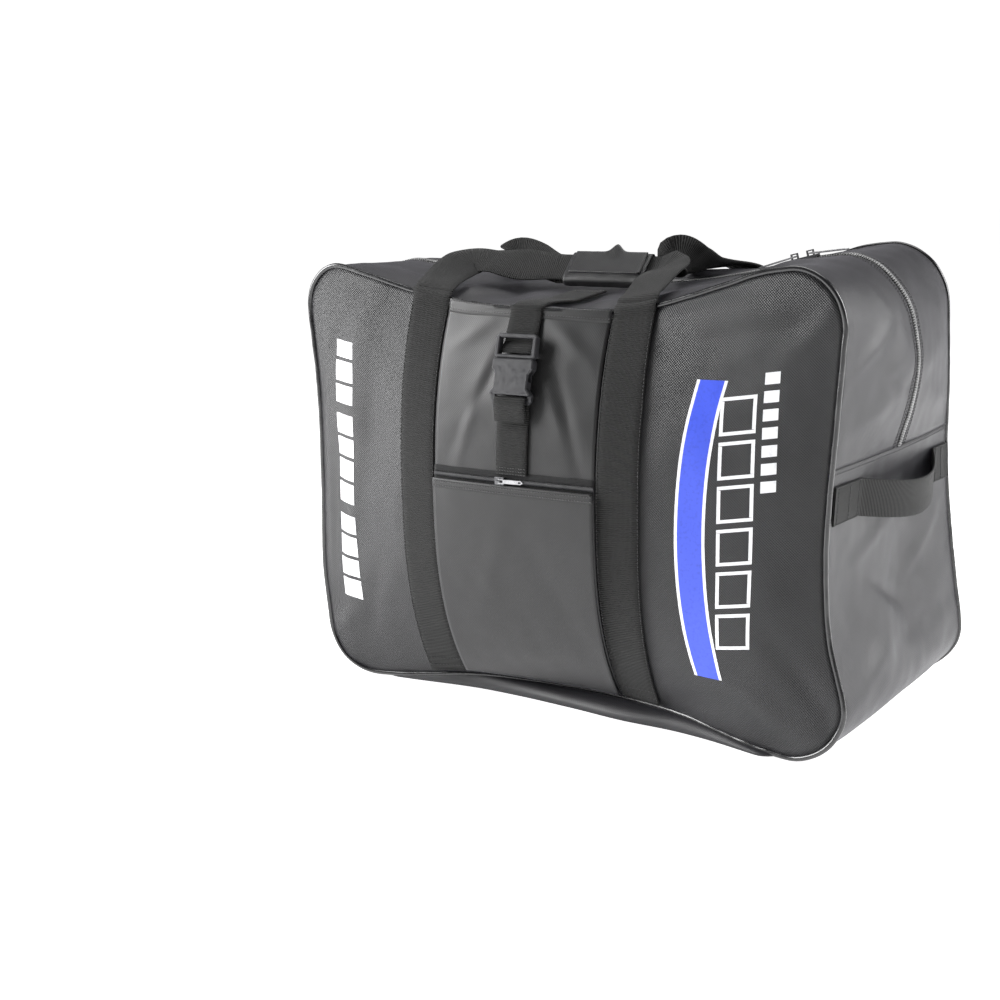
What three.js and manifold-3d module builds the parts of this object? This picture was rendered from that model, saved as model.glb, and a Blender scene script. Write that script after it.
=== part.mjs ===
// A black nylon gear bag: piped front and back panels joined by a gusset that a zipper opens over the top,
// webbing carry handles held together by a wrap, two front pockets with a buckled strap, and side grab handles.
// Millimetres. +X is the viewer's right when looking at the front, +Y is to the back, +Z is up.
import * as THREE from "three";
import Module from "manifold-3d";

const wasm = await Module();
wasm.setup();

const FRONT = -1;
const BACK = 1;
const RIGHT = 1;
const LEFT = -1;

// Driving dimensions.
const BAG_WIDTH = 636;
const BAG_HEIGHT = 472;
const BAG_DEPTH = 300;
const CORNER_RADIUS = 62;
const CROSS_SEAM_HEIGHT = 285;
const WALL = 2;
const GAP = 0.3;
const LAY_GAP = 0.9;
const PIPING_RADIUS = 2.5;
const PIPING_SIDES = 5;
const PANEL_BULGE = { [FRONT]: 44, [BACK]: 34 };
const BOTTOM_TUCK = { [FRONT]: 39, [BACK]: 24 };
const BOTTOM_FLARE = { [FRONT]: { [LEFT]: -12, [RIGHT]: 20 }, [BACK]: { [LEFT]: 0, [RIGHT]: 0 } };
const BOTTOM_LIFT = 13;
const BOTTOM_LIFT_RUN = 150;
const SEAM_CLEARANCE = 3.2;
const BOTTOM_ROUNDING = 60;

const ZIP_SLOT = 13;
const ZIP_TAPE_WIDTH = 34;
const ZIP_TAPE_WALL = 1;
const CHAIN_WIDTH = 9;
const CHAIN_THICKNESS = 3.8;

const WEBBING = 2;
const HANDLE_WIDTH = 44.5;
const HANDLE_SPACING = 234;
const HANDLE_EASE = 0.5;
const HANDLE_SHIFT = -31;
const HANDLE_FOOT = 8;
const HANDLE_BRINK = 6;
const WRAP_LENGTH = 92;
const WRAP_SHIFT = 10;
const WRAP_FORWARD = 57;
const WRAP_LEAN = 48;
const WRAP_THICKNESS = 14;
const WRAP_GATHER = 0.82;
const WRAP_WALL = 2;
const WRAP_LAYERS = 2.9;

const POCKET_WALL = 1.6;
const POCKET_FOOT = 12;
const POCKET_PUFF = 7;
const POCKET_EASE = 1;
const ZIP_POCKET_EASE = 2;
const SLIP_POCKET_RISE = 2.5;
const ZIP_POCKET_HEIGHT = 250;
const POCKET_CHAIN_SCALE = 0.67;

const STRAP_WIDTH = 36;
const STRAP_SHIFT = -29;
const STRAP_TOP_SHIFT = 0;
const STRAP_REACH = 71;
const STRAP_BRINK_RISE = 5.6;
const STRAP_FOOT = 9;
const STRAP_TAIL = 18;
const BUCKLE_TOP = 402;
const BUCKLE_LENGTH = 70;
const BUCKLE_WIDTH = 50;
const BUCKLE_THICKNESS = 11;
const BUCKLE_WALL = 3;
const BAR = 4;
const BAR_THICKNESS = 5;
const SLOT = 4.4;
const FRAME_LENGTH = 25;

const SIDE_HANDLE_WIDTH = 38;
const SIDE_HANDLE_BELOW = 16;
const SIDE_HANDLE_FRONT = 62;
const SIDE_HANDLE_BACK = 48;
const SIDE_HANDLE_STAND = 26;
const SIDE_HANDLE_DROP = 12;

const SLIDER_FACET = 1;
const SLIDER_LENGTH = 15;
const SLIDER_SPACING = 17;
const SLIDER_PLATE = 2;
const FLANGE_WALL = 0.9;
const FLANGE_DEPTH = 1.6;
const BRIDGE_SPAN = 5;
const BRIDGE_WIDTH = 3;
const BRIDGE_WALL = 1.3;
const PIN_RADIUS = 0.9;
const PIN_ROOM = 1.2;
const ARM_LENGTH = 8;
const ARM_WALL = 1.3;
const PULL_LENGTH = 40;
const PULL_WIDTH = 6.4;
const PULL_WALL = 1.7;
const POCKET_SLIDER_X = -42;
const RUNNING_GAP = 0.35;
const TOP_FACETS = 14;

const NYLON = { color: 0x2b2b2e, roughness: 0.72, metalness: 0 };
const WEB = { color: 0x262624, roughness: 0.85, metalness: 0 };
const VINYL = { color: 0x0c0c0d, roughness: 0.28, metalness: 0 };
const PLASTIC = { color: 0x38383b, roughness: 0.45, metalness: 0 };
const COIL = { color: 0x1b1b1d, roughness: 0.5, metalness: 0 };
const METAL = { color: 0x3a3a3c, roughness: 0.35, metalness: 0.8 };

// How far each upright seam is drawn in at shares of the height, as shares of the width.
const SIDE_LINES = [
  { height: 0.0, frontRight: 0.006, frontLeft: 0.026, backRight: -0.026, backLeft: -0.008 },
  { height: 0.12, frontRight: 0.014, frontLeft: 0.028, backRight: -0.034, backLeft: -0.012 },
  { height: 0.26, frontRight: 0.043, frontLeft: 0.022, backRight: -0.02, backLeft: -0.004 },
  { height: 0.42, frontRight: 0.054, frontLeft: 0.026, backRight: -0.004, backLeft: 0.008 },
  { height: 0.55, frontRight: 0.052, frontLeft: 0.028, backRight: 0.004, backLeft: 0.014 },
  { height: 0.7, frontRight: 0.045, frontLeft: 0.026, backRight: 0.006, backLeft: 0.012 },
  { height: 0.85, frontRight: 0.038, frontLeft: 0.015, backRight: 0.011, backLeft: 0.01 },
  { height: 1.0, frontRight: 0.03, frontLeft: 0.004, backRight: 0.015, backLeft: 0.012 },
];

// How far the top seams sag, as shares of the height, at shares of the half width.
const TOP_LINES = [
  { reach: 0.0, frontRight: 0.102, frontLeft: 0.102, backRight: 0.064, backLeft: 0.064 },
  { reach: 0.2, frontRight: 0.1, frontLeft: 0.1, backRight: 0.064, backLeft: 0.064 },
  { reach: 0.33, frontRight: 0.088, frontLeft: 0.095, backRight: 0.063, backLeft: 0.063 },
  { reach: 0.5, frontRight: 0.057, frontLeft: 0.077, backRight: 0.04, backLeft: 0.052 },
  { reach: 0.6, frontRight: 0.036, frontLeft: 0.063, backRight: 0.016, backLeft: 0.041 },
  { reach: 0.7, frontRight: 0.014, frontLeft: 0.045, backRight: -0.006, backLeft: 0.031 },
  { reach: 0.8, frontRight: 0.002, frontLeft: 0.028, backRight: -0.016, backLeft: 0.026 },
  { reach: 0.88, frontRight: 0.0, frontLeft: 0.012, backRight: -0.017, backLeft: 0.025 },
  { reach: 1.0, frontRight: 0.0, frontLeft: 0.0, backRight: -0.017, backLeft: 0.025 },
];

// How far the end gussets stand out between the seams at shares of the height, as shares of the depth.
const END_CROWN = [
  { height: 0.0, right: 0, left: 0 },
  { height: 0.15, right: 0.006, left: 0.012 },
  { height: 0.34, right: -0.012, left: -0.004 },
  { height: 0.5, right: 0.0, left: 0.004 },
  { height: 0.6, right: 0.014, left: 0.02 },
  { height: 0.69, right: 0.045, left: 0.045 },
  { height: 0.78, right: 0.057, left: 0.054 },
  { height: 0.86, right: 0.04, left: 0.038 },
  { height: 0.94, right: 0.01, left: 0.01 },
  { height: 1.0, right: 0, left: 0 },
];

// How far the top stands up between the seams, from the middle to the corners, as shares of the depth.
const TOP_CROWN = [
  { reach: 0.0, rise: 0.03 },
  { reach: 0.4, rise: 0.036 },
  { reach: 0.6, rise: 0.026 },
  { reach: 0.8, rise: 0.006 },
  { reach: 1.0, rise: 0.0 },
];

// Soft folds of the front and back: centre and size as shares of width and height, rise as a share of depth.
const PANEL_FOLDS = [
  { side: FRONT, x: -0.4, z: 0.62, long: 0.4, wide: 0.045, lean: 86, rise: 0.018 },
  { side: FRONT, x: -0.33, z: 0.72, long: 0.26, wide: 0.04, lean: 80, rise: -0.02 },
  { side: FRONT, x: 0.33, z: 0.8, long: 0.2, wide: 0.045, lean: 24, rise: -0.018 },
  { side: FRONT, x: 0.4, z: 0.33, long: 0.16, wide: 0.05, lean: 48, rise: 0.018 },
  { side: BACK, x: -0.28, z: 0.7, long: 0.28, wide: 0.06, lean: 100, rise: 0.018 },
  { side: BACK, x: 0.3, z: 0.4, long: 0.26, wide: 0.06, lean: 70, rise: -0.018 },
];

// Dents of the end gussets: place across as a share of the half depth, sizes as shares of height and depth.
const END_FOLDS = [
  { side: RIGHT, across: 0.3, height: 0.3, tall: 0.13, wide: 0.34, rise: -0.03 },
  { side: RIGHT, across: -0.35, height: 0.24, tall: 0.12, wide: 0.3, rise: 0.026 },
  { side: RIGHT, across: -0.3, height: 0.8, tall: 0.1, wide: 0.3, rise: 0.02 },
  { side: LEFT, across: 0.2, height: 0.28, tall: 0.14, wide: 0.36, rise: -0.026 },
  { side: LEFT, across: -0.3, height: 0.42, tall: 0.12, wide: 0.3, rise: 0.02 },
];

// The free run of each handle leg, from the seam to the wrap. Across is the share of the way from the leg to
// the wrap's near end, back the share of the way from the panel to the wrap, rise the share of the way up from
// the seam to the wrap. The last three are the direction of the webbing's width from its outer edge to its
// inner one: X towards the wrap, Y away from the seam, Z up.
const HANDLE_RUNS = [
  {
    side: FRONT,
    end: LEFT,
    run: [
      { across: 0, back: 0.1, rise: 0.35, widthX: 1, widthY: 0, widthZ: 0 },
      { across: 0, back: 0.22, rise: 0.55, widthX: 1, widthY: 0, widthZ: 0 },
      { across: 0, back: 0.5, rise: 0.95, widthX: 0.95, widthY: -0.1, widthZ: -0.25 },
      { across: 0.03, back: 0.8, rise: 1.2, widthX: 0.72, widthY: -0.55, widthZ: -0.4 },
      { across: 0.24, back: 0.88, rise: 1.2, widthX: 0.25, widthY: -0.85, widthZ: -0.4 },
      { across: 0.6, back: 0.92, rise: 1.08, widthX: 0, widthY: -0.74, widthZ: -0.67 },
    ],
  },
  {
    side: FRONT,
    end: RIGHT,
    run: [
      { across: 0, back: 0.1, rise: 0.35, widthX: 1, widthY: 0, widthZ: 0 },
      { across: 0, back: 0.22, rise: 0.5, widthX: 1, widthY: 0, widthZ: 0 },
      { across: -0.1, back: 0.5, rise: 0.9, widthX: 0.97, widthY: -0.15, widthZ: 0 },
      { across: -0.15, back: 0.74, rise: 1.1, widthX: 0.85, widthY: -0.45, widthZ: -0.1 },
      { across: 0.1, back: 0.86, rise: 1.15, widthX: 0.5, widthY: -0.75, widthZ: -0.3 },
      { across: 0.45, back: 0.92, rise: 1.12, widthX: 0.15, widthY: -0.8, widthZ: -0.6 },
    ],
  },
  {
    side: BACK,
    end: LEFT,
    run: [
      { across: 0, back: 0.06, rise: 0.7, widthX: 1, widthY: 0, widthZ: 0 },
      { across: 0, back: 0.12, rise: 1.5, widthX: 1, widthY: 0, widthZ: -0.05 },
      { across: 0.02, back: 0.35, rise: 1.9, widthX: 1, widthY: 0, widthZ: -0.08 },
      { across: 0.1, back: 0.62, rise: 2.1, widthX: 0.95, widthY: 0.1, widthZ: -0.2 },
      { across: 0.3, back: 0.86, rise: 2.1, widthX: 0.75, widthY: 0.2, widthZ: -0.35 },
      { across: 0.65, back: 0.98, rise: 2.1, widthX: 0.2, widthY: 0.72, widthZ: -0.6 },
    ],
  },
  {
    side: BACK,
    end: RIGHT,
    run: [
      { across: 0, back: 0.06, rise: 0.6, widthX: 1, widthY: 0, widthZ: 0 },
      { across: 0, back: 0.12, rise: 0.8, widthX: 1, widthY: 0, widthZ: 0 },
      { across: -0.1, back: 0.4, rise: 1.1, widthX: 0.97, widthY: 0, widthZ: -0.15 },
      { across: -0.1, back: 0.68, rise: 1.3, widthX: 0.9, widthY: 0.1, widthZ: -0.35 },
      { across: 0, back: 0.8, rise: 1.65, widthX: 0.7, widthY: 0.3, widthZ: -0.5 },
      { across: 0.35, back: 0.92, rise: 2.1, widthX: 0.3, widthY: 0.66, widthZ: -0.7 },
    ],
  },
];

// The outline of one half of the buckle's body from its lower end: place along the body, and half width, as
// shares of the body's length and width.
const BODY_OUTLINE = [
  { along: 0, half: 0.4 },
  { along: 0.08, half: 0.46 },
  { along: 0.22, half: 0.46 },
  { along: 0.34, half: 0.38 },
  { along: 0.66, half: 0.38 },
  { along: 0.78, half: 0.46 },
  { along: 0.94, half: 0.46 },
  { along: 1, half: 0.43 },
];

const vec = (x, y, z) => new THREE.Vector3(x, y, z);
const clamp = (t, low = 0, high = 1) => Math.min(high, Math.max(low, t));
const smooth = (t) => clamp(t) ** 2 * (3 - 2 * clamp(t));
const mix = (a, b, t) => a + (b - a) * t;
const steps = (n, from = 0, to = 1) => Array.from({ length: n + 1 }, (_, i) => mix(from, to, i / n));

// The value of a table's column at a place between its rows, on a smooth curve through them.
function follow(rows, key, column, at) {
  const last = rows.length - 2;
  const i = clamp(rows.findIndex((row) => row[key] > at) - 1, 0, last);
  const row = at >= rows[last + 1][key] ? last : i;
  const slope = (k) => {
    const a = rows[Math.max(k - 1, 0)];
    const b = rows[Math.min(k + 1, last + 1)];
    return (b[column] - a[column]) / (b[key] - a[key]);
  };
  const run = rows[row + 1][key] - rows[row][key];
  const t = clamp((at - rows[row][key]) / run);
  const [p, q] = [rows[row][column], rows[row + 1][column]];
  const [m, n] = [slope(row) * run, slope(row + 1) * run];
  return (
    (2 * t ** 3 - 3 * t ** 2 + 1) * p +
    (t ** 3 - 2 * t ** 2 + t) * m +
    (3 * t ** 2 - 2 * t ** 3) * q +
    (t ** 3 - t ** 2) * n
  );
}

// The bag's shape as functions of the nominal outline, a rounded rectangle in x and z.
const corner = (side, x) => (side === FRONT ? "front" : "back") + (x > 0 ? "Right" : "Left");

function halfWidth(side, x, height) {
  return BAG_WIDTH * (0.5 - follow(SIDE_LINES, "height", corner(side, x), clamp(height)));
}

const middle = (x) => smooth((BAG_WIDTH / 2 - CORNER_RADIUS - Math.abs(x)) / BOTTOM_LIFT_RUN);

function topLine(side, x) {
  const reach = clamp(Math.abs(x) / (BAG_WIDTH / 2));
  return BAG_HEIGHT * (1 - follow(TOP_LINES, "reach", corner(side, x), reach));
}

function bottomLine(x) {
  return SEAM_CLEARANCE + BOTTOM_LIFT * middle(x);
}

// The nominal point (x, z) moved to the soft outline of one side; lift is 1 at the seam and 0 under the bag.
function warp(side, x, z, lift = 1) {
  const share = z / BAG_HEIGHT;
  const raised = mix(WALL / 2, bottomLine(x), lift) * (1 - share) ** 4;
  return {
    x: (x * halfWidth(side, x, share)) / (BAG_WIDTH / 2),
    z: z - (BAG_HEIGHT - topLine(side, x)) * share ** 2 + raised,
  };
}

function foldAt(rows, side, x, z) {
  let rise = 0;
  for (const row of rows.filter((r) => r.side === side)) {
    const lean = THREE.MathUtils.degToRad(row.lean);
    const dx = x - row.x * BAG_WIDTH;
    const dz = z - row.z * BAG_HEIGHT;
    const along = (dx * Math.cos(lean) + dz * Math.sin(lean)) / (row.long * BAG_HEIGHT);
    const off = (dz * Math.cos(lean) - dx * Math.sin(lean)) / (row.wide * BAG_WIDTH);
    rise += row.rise * BAG_DEPTH * Math.exp(-(along ** 2) - off ** 2);
  }
  return rise;
}

// The distance of the front or back panel's middle surface from the plane y = 0.
function panelDepth(side, x, z) {
  const across = clamp(Math.abs(x) / halfWidth(side, x, z / BAG_HEIGHT));
  const up = clamp((z - bottomLine(x)) / (topLine(side, x) - bottomLine(x)));
  const pillow = (1 - across ** 2.4) * (1 - Math.abs(2 * up - 1) ** 2.6);
  const tuck = BOTTOM_TUCK[side] * Math.cos((across * Math.PI) / 2) ** 2 * (1 - up) ** 4;
  const flare = BOTTOM_FLARE[side][x > 0 ? RIGHT : LEFT] * smooth(across) * clamp(1 - z / BAG_HEIGHT) ** 4;
  const folds = foldAt(PANEL_FOLDS, side, x, z) * pillow ** 0.5;
  return BAG_DEPTH / 2 + PANEL_BULGE[side] * pillow - tuck + flare + folds;
}

function panelPoint(side, x, z) {
  return vec(x, side * panelDepth(side, x, z), z);
}

function seamPoint(side, station) {
  const p = warp(side, station.x, station.z);
  return panelPoint(side, p.x, p.z);
}

// How far the gusset stands out of the line between the two seams; across runs from -1 to 1.
function gussetCrown(station, across) {
  const end = station.x > 0 ? "right" : "left";
  const flatTop = Math.abs(station.x) < BAG_WIDTH / 2 - CORNER_RADIUS && station.z > BAG_HEIGHT / 2;
  const flatBottom = Math.abs(station.x) < BAG_WIDTH / 2 - CORNER_RADIUS && station.z < BAG_HEIGHT / 2;
  const reach = Math.abs(station.x) / (BAG_WIDTH / 2 - CORNER_RADIUS);
  if (flatBottom) return 0;
  if (flatTop) return BAG_DEPTH * follow(TOP_CROWN, "reach", "rise", reach) * (1 - across ** 2);
  const height = station.z / BAG_HEIGHT;
  let rise = follow(END_CROWN, "height", end, height) * (1 - across ** 2);
  for (const row of END_FOLDS.filter((r) => r.side === Math.sign(station.x))) {
    const up = (height - row.height) / row.tall;
    const off = (across - row.across) / row.wide;
    rise += row.rise * Math.exp(-(up ** 2) - off ** 2) * (1 - across ** 2);
  }
  return BAG_DEPTH * rise;
}

function gussetPoint(station, across) {
  const inFromSeam = ((1 - Math.abs(across)) * BAG_DEPTH) / 2;
  const lift = smooth(1 - inFromSeam / BOTTOM_ROUNDING);
  const [front, back] = [FRONT, BACK].map((side) => {
    const p = warp(side, station.x, station.z, lift);
    return vec(p.x, seamPoint(side, station).y, p.z);
  });
  const crown = gussetCrown(station, across);
  return front.lerp(back, (across + 1) / 2).add(vec(station.outX * crown, 0, station.outZ * crown));
}

// The place across the gusset, at a station, that lies a distance from a seam or from the middle.
const seamDistance = (station) => seamPoint(BACK, station).y - seamPoint(FRONT, station).y;
const fromSeam = (side, distance) => (station) => side * (1 - (2 * distance) / seamDistance(station));
const fromMiddle = (distance) => (station) => (2 * distance) / seamDistance(station);

// Stations of the nominal outline along a path of lines and arcs, each with the outline's outward direction.
function stationsOf(pieces) {
  const stations = [];
  for (const { from, to, centre, count } of pieces)
    for (const t of steps(count).slice(stations.length ? 1 : 0)) {
      if (centre) {
        const angle = mix(from, to, t);
        const [outX, outZ] = [Math.cos(angle), Math.sin(angle)];
        const [x, z] = [centre[0] + CORNER_RADIUS * outX, centre[1] + CORNER_RADIUS * outZ];
        stations.push({ x, z, outX, outZ });
      } else {
        const run = new THREE.Vector2(to[0] - from[0], to[1] - from[1]).normalize();
        stations.push({ x: mix(from[0], to[0], t), z: mix(from[1], to[1], t), outX: run.y, outZ: -run.x });
      }
    }
  return stations;
}

const edgeX = BAG_WIDTH / 2;
const innerX = edgeX - CORNER_RADIUS;
const lowZ = CORNER_RADIUS;
const highZ = BAG_HEIGHT - CORNER_RADIUS;
const quarter = Math.PI / 2;
const LOWER = stationsOf([
  { from: [-edgeX, CROSS_SEAM_HEIGHT], to: [-edgeX, lowZ], count: 4 },
  { from: -2 * quarter, to: -quarter, centre: [-innerX, lowZ], count: 5 },
  { from: [-innerX, 0], to: [innerX, 0], count: 8 },
  { from: -quarter, to: 0, centre: [innerX, lowZ], count: 5 },
  { from: [edgeX, lowZ], to: [edgeX, CROSS_SEAM_HEIGHT], count: 4 },
]);
const UPPER = stationsOf([
  { from: [edgeX, CROSS_SEAM_HEIGHT], to: [edgeX, highZ], count: 4 },
  { from: 0, to: quarter, centre: [innerX, highZ], count: 5 },
  { from: [innerX, BAG_HEIGHT], to: [-innerX, BAG_HEIGHT], count: TOP_FACETS },
  { from: quarter, to: 2 * quarter, centre: [-innerX, highZ], count: 5 },
  { from: [-edgeX, highZ], to: [-edgeX, CROSS_SEAM_HEIGHT], count: 4 },
]);
const AROUND = [...LOWER.slice(0, -1), ...UPPER.slice(0, -1)];

// A closed solid through rings of points. A looped solid joins its last ring to its first; others are capped,
// by strips between the two halves of an end ring, or by a fan to its centre.
function solidThrough(rings, { looped = false, cap = "strip" } = {}) {
  const size = rings[0].length;
  const points = rings.flat();
  const index = [];
  const quad = (a, b, c, d, flip) => index.push(...(flip ? [a, b, c, b, d, c] : [a, b, d, a, d, c]));
  for (let i = 0; i < rings.length - (looped ? 0 : 1); i++)
    for (let k = 0; k < size; k++) {
      const next = ((i + 1) % rings.length) * size;
      quad(i * size + k, i * size + ((k + 1) % size), next + k, next + ((k + 1) % size), k >= size / 2);
    }
  if (!looped)
    for (const [start, first] of [[0, true], [(rings.length - 1) * size, false]]) {
      const turn = (a, b, c) => index.push(...(first ? [a, c, b] : [a, b, c]));
      if (cap === "fan") {
        const ring = points.slice(start, start + size);
        points.push(ring.reduce((sum, p) => sum.add(p), vec(0, 0, 0)).divideScalar(size));
        for (let k = 0; k < size; k++) turn(start + k, start + ((k + 1) % size), points.length - 1);
      } else
        for (let k = 0; k < size / 2 - 1; k++) {
          turn(start + k, start + k + 1, start + size - 1 - k);
          turn(start + k + 1, start + size - 2 - k, start + size - 1 - k);
        }
    }
  const geometry = new THREE.BufferGeometry().setFromPoints(points).setIndex(index);
  if (volumeOf(points, index) < 0) geometry.index.array.reverse();
  geometry.computeVertexNormals();
  return geometry;
}

function volumeOf(points, index) {
  let volume = 0;
  for (let i = 0; i < index.length; i += 3)
    volume += points[index[i]].dot(points[index[i + 1]].clone().cross(points[index[i + 2]])) / 6;
  return volume;
}

// The unit normals of a grid of points, by the differences of their neighbours.
function gridNormals(grid) {
  const at = (i, k) => grid[clamp(i, 0, grid.length - 1)][clamp(k, 0, grid[0].length - 1)];
  return grid.map((row, i) =>
    row.map((_, k) => {
      const along = at(i + 1, k).clone().sub(at(i - 1, k));
      return along.cross(at(i, k + 1).clone().sub(at(i, k - 1))).normalize();
    }),
  );
}

// A cloth wall whose middle surface is a grid of points; low and high are its faces along the normals.
function clothWall(grid, low, high, options = {}) {
  const normals = gridNormals(options.looped ? [grid.at(-1), ...grid, grid[0]] : grid);
  const normal = (i, k) => normals[options.looped ? i + 1 : i][k];
  const face = (row, i, by) => row.map((p, k) => p.clone().addScaledVector(normal(i, k), by));
  return solidThrough(grid.map((row, i) => [...face(row, i, high), ...face(row, i, low).reverse()]), options);
}

const clothSheet = (grid, wall) => clothWall(grid, -wall / 2, wall / 2);

// The point a distance off the carriers' face that is met at (x, z) from one side, or off the seam's plane.
const ray = new THREE.Raycaster();
function laidPoint(x, z, side, carriers, gap) {
  ray.set(vec(x, side * BAG_DEPTH * 3, z), vec(0, -side, 0));
  const hit = ray.intersectObjects(carriers, false)[0];
  if (!hit) return vec(x, side * (panelDepth(side, x, z) + PIPING_RADIUS + gap), z);
  return hit.point.addScaledVector(hit.face.normal, gap);
}

const bag = new THREE.Group();
function add(name, geometry, finish, parent = bag) {
  const material = new THREE.MeshStandardMaterial({ ...finish, side: THREE.DoubleSide });
  const mesh = new THREE.Mesh(geometry, material);
  mesh.name = name;
  parent.add(mesh);
  return mesh;
}

function toManifold(geometry) {
  const g = geometry.clone();
  for (const name of Object.keys(g.attributes)) if (name !== "position") g.deleteAttribute(name);
  const merged = mergePositions(g);
  return new wasm.Manifold(
    new wasm.Mesh({ numProp: 3, vertProperties: merged.positions, triVerts: merged.index }),
  );
}

// Vertices merged by position, which a boolean cut needs.
function mergePositions(geometry) {
  const source = geometry.index ? geometry.toNonIndexed() : geometry;
  const { array } = source.attributes.position;
  const seen = new Map();
  const positions = [];
  const index = [];
  for (let i = 0; i < array.length; i += 3) {
    const point = [array[i], array[i + 1], array[i + 2]];
    const key = point.map((v) => Math.round(v * 1e4)).join();
    if (!seen.has(key)) {
      seen.set(key, positions.length / 3);
      positions.push(...point);
    }
    index.push(seen.get(key));
  }
  return { positions: new Float32Array(positions), index: new Uint32Array(index) };
}

function fromManifold(solid) {
  const mesh = solid.getMesh();
  const geometry = new THREE.BufferGeometry();
  geometry.setAttribute("position", new THREE.BufferAttribute(new Float32Array(mesh.vertProperties), 3));
  geometry.setIndex(new THREE.BufferAttribute(new Uint32Array(mesh.triVerts), 1));
  geometry.computeVertexNormals();
  return geometry;
}

const joined = (...parts) => fromManifold(parts.map(toManifold).reduce((a, b) => a.add(b)));
const cut = (body, ...holes) =>
  fromManifold(holes.map(toManifold).reduce((a, b) => a.subtract(b), toManifold(body)));

// A box given by its lowest and highest corners.
function boxBetween(low, high) {
  const size = high.clone().sub(low);
  const centre = low.clone().add(high).multiplyScalar(0.5);
  return new THREE.BoxGeometry(size.x, size.y, size.z).translate(centre.x, centre.y, centre.z);
}

// The seam of one side at every station round the bag, with the outward direction square to it in x and z.
function seamLoop(side) {
  const points = AROUND.map((station) => seamPoint(side, station));
  return points.map((point, i) => {
    const run = points[(i + 1) % points.length].clone().sub(points.at(i - 1));
    return { point, run, out: vec(run.z, 0, -run.x).normalize() };
  });
}

const seam = { [FRONT]: seamLoop(FRONT), [BACK]: seamLoop(BACK) };

// Panels: rings of the outline shrunk towards the centre, and a point in the middle.
const PANEL_RINGS = [1, 0.9, 0.76, 0.58, 0.38, 0.18];

function makePanel(side) {
  const grid = seam[side].map(({ point, out }) => {
    const edge = point.clone().addScaledVector(out, -PIPING_RADIUS - GAP - WALL / 4);
    return PANEL_RINGS.map((share) =>
      panelPoint(side, edge.x * share, mix(BAG_HEIGHT / 2, edge.z, share)),
    );
  });
  const normals = gridNormals([grid.at(-1), ...grid, grid[0]]).slice(1, -1);
  const rings = (by) =>
    PANEL_RINGS.map((_, j) => grid.map((row, k) => row[j].clone().addScaledVector(normals[k][j], by)));
  return solidThrough([...rings(WALL / 2).reverse(), ...rings(-WALL / 2)], { cap: "fan" });
}

const panel = {
  [FRONT]: add("front_panel", makePanel(FRONT), NYLON),
  [BACK]: add("back_panel", makePanel(BACK), NYLON),
};

// Piping: a round cord sewn along each seam.
function makePiping(side) {
  const rings = seam[side].map(({ point, run, out }) => {
    const other = run.clone().normalize().cross(out);
    return steps(PIPING_SIDES, 0, 2 * Math.PI).slice(1).map((angle) =>
      point
        .clone()
        .addScaledVector(out, PIPING_RADIUS * Math.cos(angle))
        .addScaledVector(other, PIPING_RADIUS * Math.sin(angle)),
    );
  });
  return solidThrough(rings, { looped: true });
}

add("piping_front", makePiping(FRONT), VINYL);
add("piping_back", makePiping(BACK), VINYL);

// The gusset: its lower part is the bottom and the lower ends, and the upper part is split by the zipper.
function gussetSheet(stations, from, to, cells, low = -WALL / 2, high = WALL / 2) {
  const grid = stations.map((station) =>
    steps(cells, from(station), to(station)).map((across) => gussetPoint(station, across)),
  );
  return clothWall(grid, -high, -low);
}

const seamEdge = (side) => fromSeam(side, PIPING_RADIUS + GAP);
const trimmed = (stations) => {
  const shift = (station, toward) => ({ ...station, z: station.z + toward * (GAP / 2) });
  const [first, last] = [stations[0], stations.at(-1)];
  const toward = stations === LOWER ? -1 : 1;
  return [shift(first, toward), ...stations.slice(1, -1), shift(last, toward)];
};

add("gusset_bottom", gussetSheet(trimmed(LOWER), seamEdge(FRONT), seamEdge(BACK), 10), NYLON);
const slotEdge = (side) => fromMiddle((side * ZIP_SLOT) / 2);
add("gusset_top_front", gussetSheet(trimmed(UPPER), seamEdge(FRONT), slotEdge(FRONT), 4), NYLON);
add("gusset_top_back", gussetSheet(trimmed(UPPER), slotEdge(BACK), seamEdge(BACK), 4), NYLON);

// The zipper: a tape under the slot and the closed coil in it.
const tapeTop = -WALL / 2 - LAY_GAP;
const chainLow = tapeTop + GAP;
function zipStrip(width, low, high) {
  return gussetSheet(trimmed(UPPER), fromMiddle(-width / 2), fromMiddle(width / 2), 2, low, high);
}
add("zipper_tape", zipStrip(ZIP_TAPE_WIDTH, tapeTop - ZIP_TAPE_WALL, tapeTop), COIL);
add("zipper_chain", zipStrip(CHAIN_WIDTH, chainLow, chainLow + CHAIN_THICKNESS), COIL);

// Places on pieces already made, found by looking at them from the front, from an end, or from above.
const named = (...names) => names.map((name) => bag.getObjectByName(name));
const topPieces = named("gusset_top_front", "gusset_top_back", "zipper_chain", "zipper_tape");
function hitFrom(origin, direction, carriers) {
  ray.set(origin, direction);
  return ray.intersectObjects(carriers, false)[0]?.point;
}
const seamTop = (side, x) => {
  const piping = named(side === FRONT ? "piping_front" : "piping_back");
  return hitFrom(vec(x, (side * BAG_DEPTH) / 2, BAG_HEIGHT * 3), vec(0, 0, -1), piping).z - PIPING_RADIUS;
};
const topAt = (x, y) => hitFrom(vec(x, y, BAG_HEIGHT * 3), vec(0, 0, -1), topPieces).z;

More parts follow.
